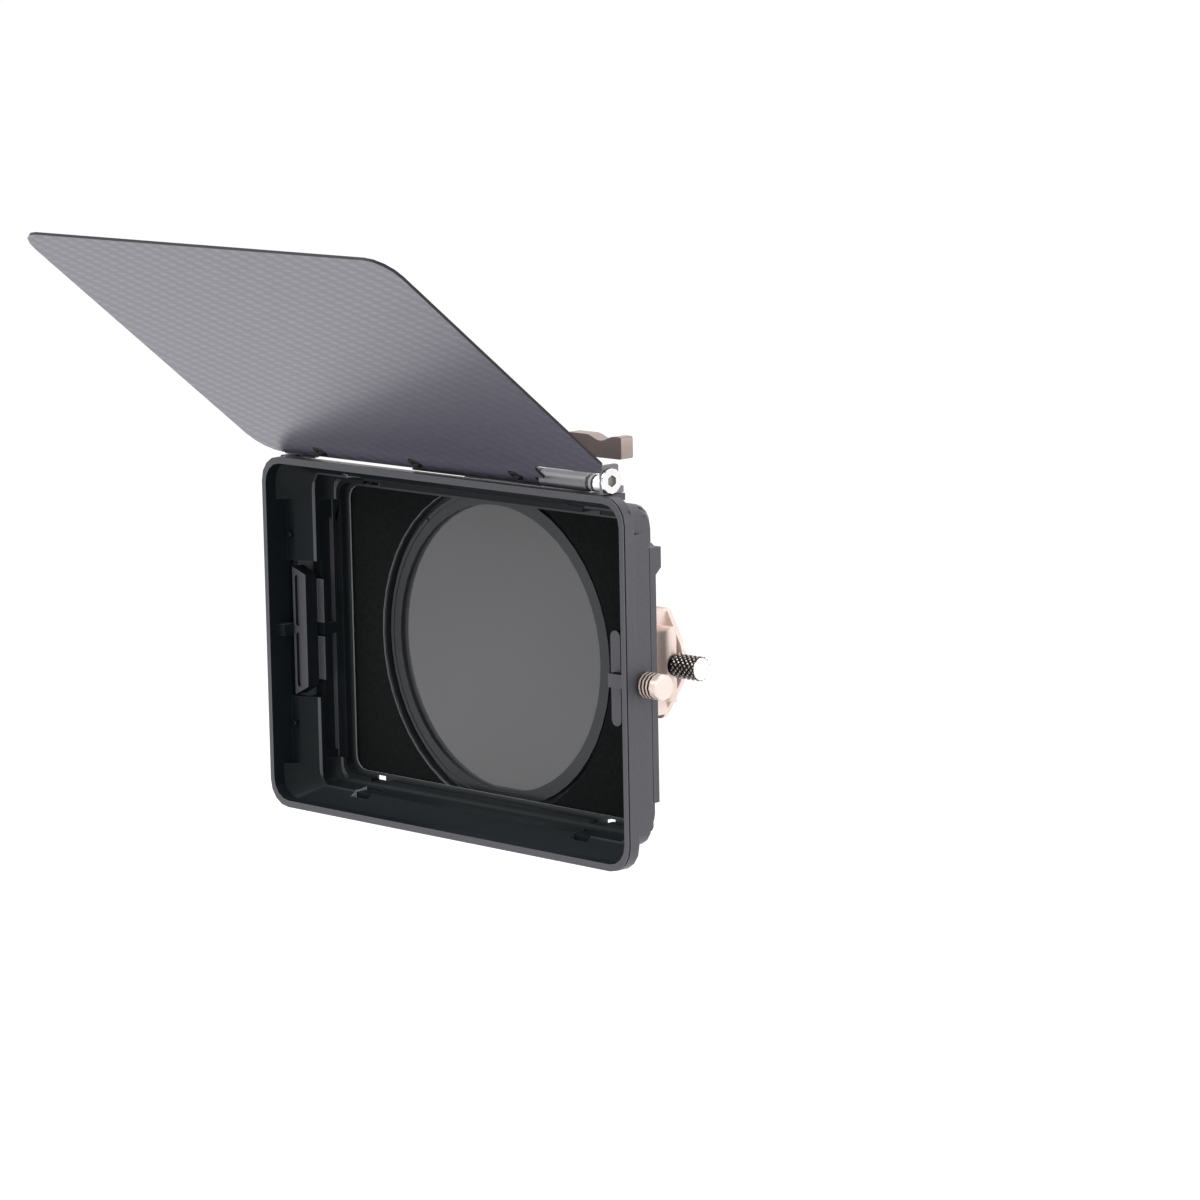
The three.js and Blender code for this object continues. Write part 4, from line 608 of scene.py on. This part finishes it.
def anywhere(centre, normal):
    return True


FACE_LOOKS = {
    "hood_frame": (
        (SHADED_INSIDE, in_hood), (SHADED_FLOOR, on_floor), (LEDGE_SHADED_BELOW, on_side_ledge),
        (LIT_CHANNEL_END, on_channel_end)),
    "left_filter_latch": ((SHADED_INSIDE, not_front),),
    "right_filter_latch": ((SHADED_INSIDE, not_front),),
    "mask_plate": ((WINDOW_EDGE_HIGHLIGHT, on_window_edge),),
    "tray_front_board": ((HOLE_EDGE_HIGHLIGHT, in_board_hole),),
    "release_pull_pin": ((RIDGED, before_pin_face),),
    "hinge_seal_ring": ((SEAL, anywhere),),
    "top_flag": ((FLAG_EDGE, on_flag_edge),),
    "hinge_shaft": ((POLISHED, anywhere),),
    "hinge_lock_screw": ((HEX_SOCKET, in_socket),),
}


# Pieces
def add_piece(name, mesh, node, crease, bevel=0.0):
    """A smooth piece, rounded at its edges, that stands for a CAD node and rides on its body."""
    piece = bpy.data.objects.new(name, mesh)
    bpy.context.scene.collection.objects.link(piece)
    if mesh.has_custom_normals:
        with bpy.context.temp_override(
                object=piece, active_object=piece, selected_objects=[piece]):
            bpy.ops.mesh.customdata_custom_splitnormals_clear()
    mesh.shade_smooth()
    mesh.set_sharp_from_angle(angle=crease)
    if bevel:
        rounding = piece.modifiers.new("edges", "BEVEL")
        rounding.width = bevel * MM
        rounding.segments = BEVEL_SEGMENTS
        rounding.limit_method = "ANGLE"
        rounding.angle_limit = crease
    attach(piece, BODY_OF[node])
    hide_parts(node)
    return piece


def nip_recess(body):
    """Draws the side walls of the filter recess in, to where the photograph shows them."""
    for vertex in body.verts:
        side = abs(vertex.co.x) / MM
        if not LEDGE_DEPTH - NEAR_LEDGE < depth_of(vertex.co) < RECESS_BACK:
            continue
        if not NIP_FROM < side < RECESS_OUTER or abs(vertex.co.z) > NIP_TOP * MM:
            continue
        if any(outwards(face.normal.x, vertex.co.x) > BARELY for face in vertex.link_faces):
            continue
        share = min(1.0, (side - NIP_FROM) / (RECESS_SIDE - NIP_FROM))
        vertex.co.x -= math.copysign(NIP * share * MM, vertex.co.x)


def skin(node, bevel):
    """A welded copy of a CAD node, with other materials on some of its faces."""
    mesh = NODES[node].data.copy()
    mesh.name = node + "_skin"
    body = bmesh.new()
    body.from_mesh(mesh)
    bmesh.ops.remove_doubles(body, verts=body.verts, dist=WELD * MM)
    bmesh.ops.dissolve_limit(
        body, angle_limit=FLAT_ANGLE, verts=body.verts, edges=body.edges)
    if node == "hood_frame":
        nip_recess(body)
    body.to_mesh(mesh)
    body.free()
    mesh.materials.clear()
    mesh.materials.append(LOOKS[SLOT_OF[node]])
    for slot, (material, chosen) in enumerate(FACE_LOOKS.get(node, ()), 1):
        mesh.materials.append(material)
        for face in mesh.polygons:
            if chosen(face.center, face.normal):
                face.material_index = slot
    return add_piece(node + "_skin", mesh, node, CREASE, bevel)


def circle(body, x, radii):
    """Points round the thumbscrew's axis, one for each radius."""
    points = []
    for index, radius in enumerate(radii):
        angle = 2 * math.pi * index / len(radii)
        y, z = KNOB_Y + radius * math.cos(angle), radius * math.sin(angle)
        points.append(body.verts.new((x * MM, y * MM, z * MM)))
    return points


def loft(body, rings):
    """Faces from ring to ring, closed at both ends."""
    for first, second in zip(rings, rings[1:]):
        for index in range(len(first)):
            after = (index + 1) % len(first)
            body.faces.new((first[index], first[after], second[after], second[index]))
    body.faces.new(rings[-1])
    body.faces.new(list(reversed(rings[0])))


def knurl_radius(index, step):
    """The radius on the knurl, which sinks between two crossing sets of ridges."""
    slants = ((index + step) / KNURL_FINE, (index - step) / KNURL_FINE)
    away = max(abs(slant % 1 - 0.5) * 2 for slant in slants)
    return KNOB_RADIUS - KNURL_DEEP * max(0.0, away - KNURL_CREST) / (1 - KNURL_CREST)


def knurled_knob(node):
    """The thumbscrew, with a cross-cut diamond knurl, in place of its plain solid."""
    root = KNOB_RADIUS - KNURL_DEEP
    band_start, band_end = KNOB_START + KNOB_COLLAR, KNOB_END - KNOB_CHAMFER
    band = band_end - band_start
    steps = KNURL_FINE * round(band / DIAMOND_LENGTH)
    turns = KNURL_FINE * KNURL_STARTS
    before = ((KNOB_START, KNOB_HUB), (KNOB_START, KNOB_RADIUS - KNOB_CHAMFER),
              (KNOB_START + KNOB_CHAMFER, root), (band_start, root))
    behind = ((band_end, root), (KNOB_END, root - KNOB_CHAMFER), (KNOB_END, KNOB_HUB))

    body = bmesh.new()
    rings = [circle(body, x, [radius] * turns) for x, radius in before]
    for step in range(1, steps):
        radii = [knurl_radius(index, step) for index in range(turns)]
        rings.append(circle(body, band_start + band * step / steps, radii))
    rings += [circle(body, x, [radius] * turns) for x, radius in behind]
    loft(body, rings)
    loft(body, [circle(body, x, [SHANK_RADIUS] * SHANK_SIDES)
                for x in (SHANK_TIP, KNOB_START + SHANK_SINK)])
    bmesh.ops.recalc_face_normals(body, faces=body.faces)
    mesh = bpy.data.meshes.new(node + "_knurled")
    body.to_mesh(mesh)
    body.free()
    mesh.materials.append(KNURLED)
    mesh.materials.append(KNOB_FACE)
    for face in mesh.polygons:
        if face.center.x > band_end * MM:
            face.material_index = 1
    add_piece(node + "_knurled", mesh, node, KNOB_CREASE)


for node in sorted(NODES):
    if node == "clamp_thumbscrew":
        knurled_knob(node)
    elif node in SPRINGS:
        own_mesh(skin(node, 0.0))
    else:
        skin(node, BEVELS.get(node, PLAIN_BEVEL))


# Studio
def direct_rays(tree):
    """1 where the camera, a reflection or a pane looks straight at a surface, and else 0."""
    rays = tree.nodes.new("ShaderNodeLightPath")
    result = rays.outputs["Is Camera Ray"]
    for name in ("Is Glossy Ray", "Is Transmission Ray"):
        either = tree.nodes.new("ShaderNodeMath")
        either.operation = "MAXIMUM"
        tree.links.new(result, either.inputs[0])
        tree.links.new(rays.outputs[name], either.inputs[1])
        result = either.outputs[0]
    return result


for name, (location, size, power) in LAMPS.items():
    light = bpy.data.lights.new(name, "AREA")
    light.shape = "RECTANGLE"
    light.size, light.size_y = size
    light.energy = power
    lamp = bpy.data.objects.new(name, light)
    bpy.context.scene.collection.objects.link(lamp)
    lamp.location = location
    lamp.rotation_mode = "QUATERNION"
    lamp.rotation_quaternion = (Vector(AIM) - Vector(location)).to_track_quat("-Z", "Y")

world = bpy.data.worlds.new("studio")
bpy.context.scene.world = world
world.use_nodes = True
tree = world.node_tree
tree.nodes.clear()
world_output = tree.nodes.new("ShaderNodeOutputWorld")
choice = tree.nodes.new("ShaderNodeMixShader")
tree.links.new(direct_rays(tree), choice.inputs[0])
for index, strength in ((1, WORLD_LIGHT), (2, BACKDROP)):
    background = tree.nodes.new("ShaderNodeBackground")
    background.inputs["Color"].default_value = WHITE
    background.inputs["Strength"].default_value = strength
    tree.links.new(background.outputs[0], choice.inputs[index])
tree.links.new(choice.outputs[0], world_output.inputs["Surface"])


def floor_look():
    """A pale matt floor that glows enough to look white, and still holds a shadow."""
    s = Shader("floor")
    s.finish(Base_Color=FLOOR_COLOR, Roughness=0.85)
    glow = s.add("ShaderNodeEmission")
    glow.inputs["Color"].default_value = WHITE
    glow.inputs["Strength"].default_value = FLOOR_GLOW
    blend = s.add("ShaderNodeMixShader")
    s.link(s.math("MULTIPLY", direct_rays(s.tree), FLOOR_GLOW_SHARE), blend.inputs[0])
    s.link(s.bsdf.outputs["BSDF"], blend.inputs[1])
    s.link(glow.outputs["Emission"], blend.inputs[2])
    s.link(blend.outputs[0], s.output.inputs["Surface"])
    return s.material


floor_mesh = bpy.data.meshes.new("floor")
corners = ((-1, -1), (1, -1), (1, 1), (-1, 1))
floor_mesh.from_pydata(
    [(x * FLOOR_REACH, y * FLOOR_REACH, FLOOR_LEVEL) for x, y in corners], [], [(0, 1, 2, 3)])
floor_mesh.materials.append(floor_look())
floor = bpy.data.objects.new("floor", floor_mesh)
bpy.context.scene.collection.objects.link(floor)

bpy.context.scene.view_settings.view_transform = "Standard"
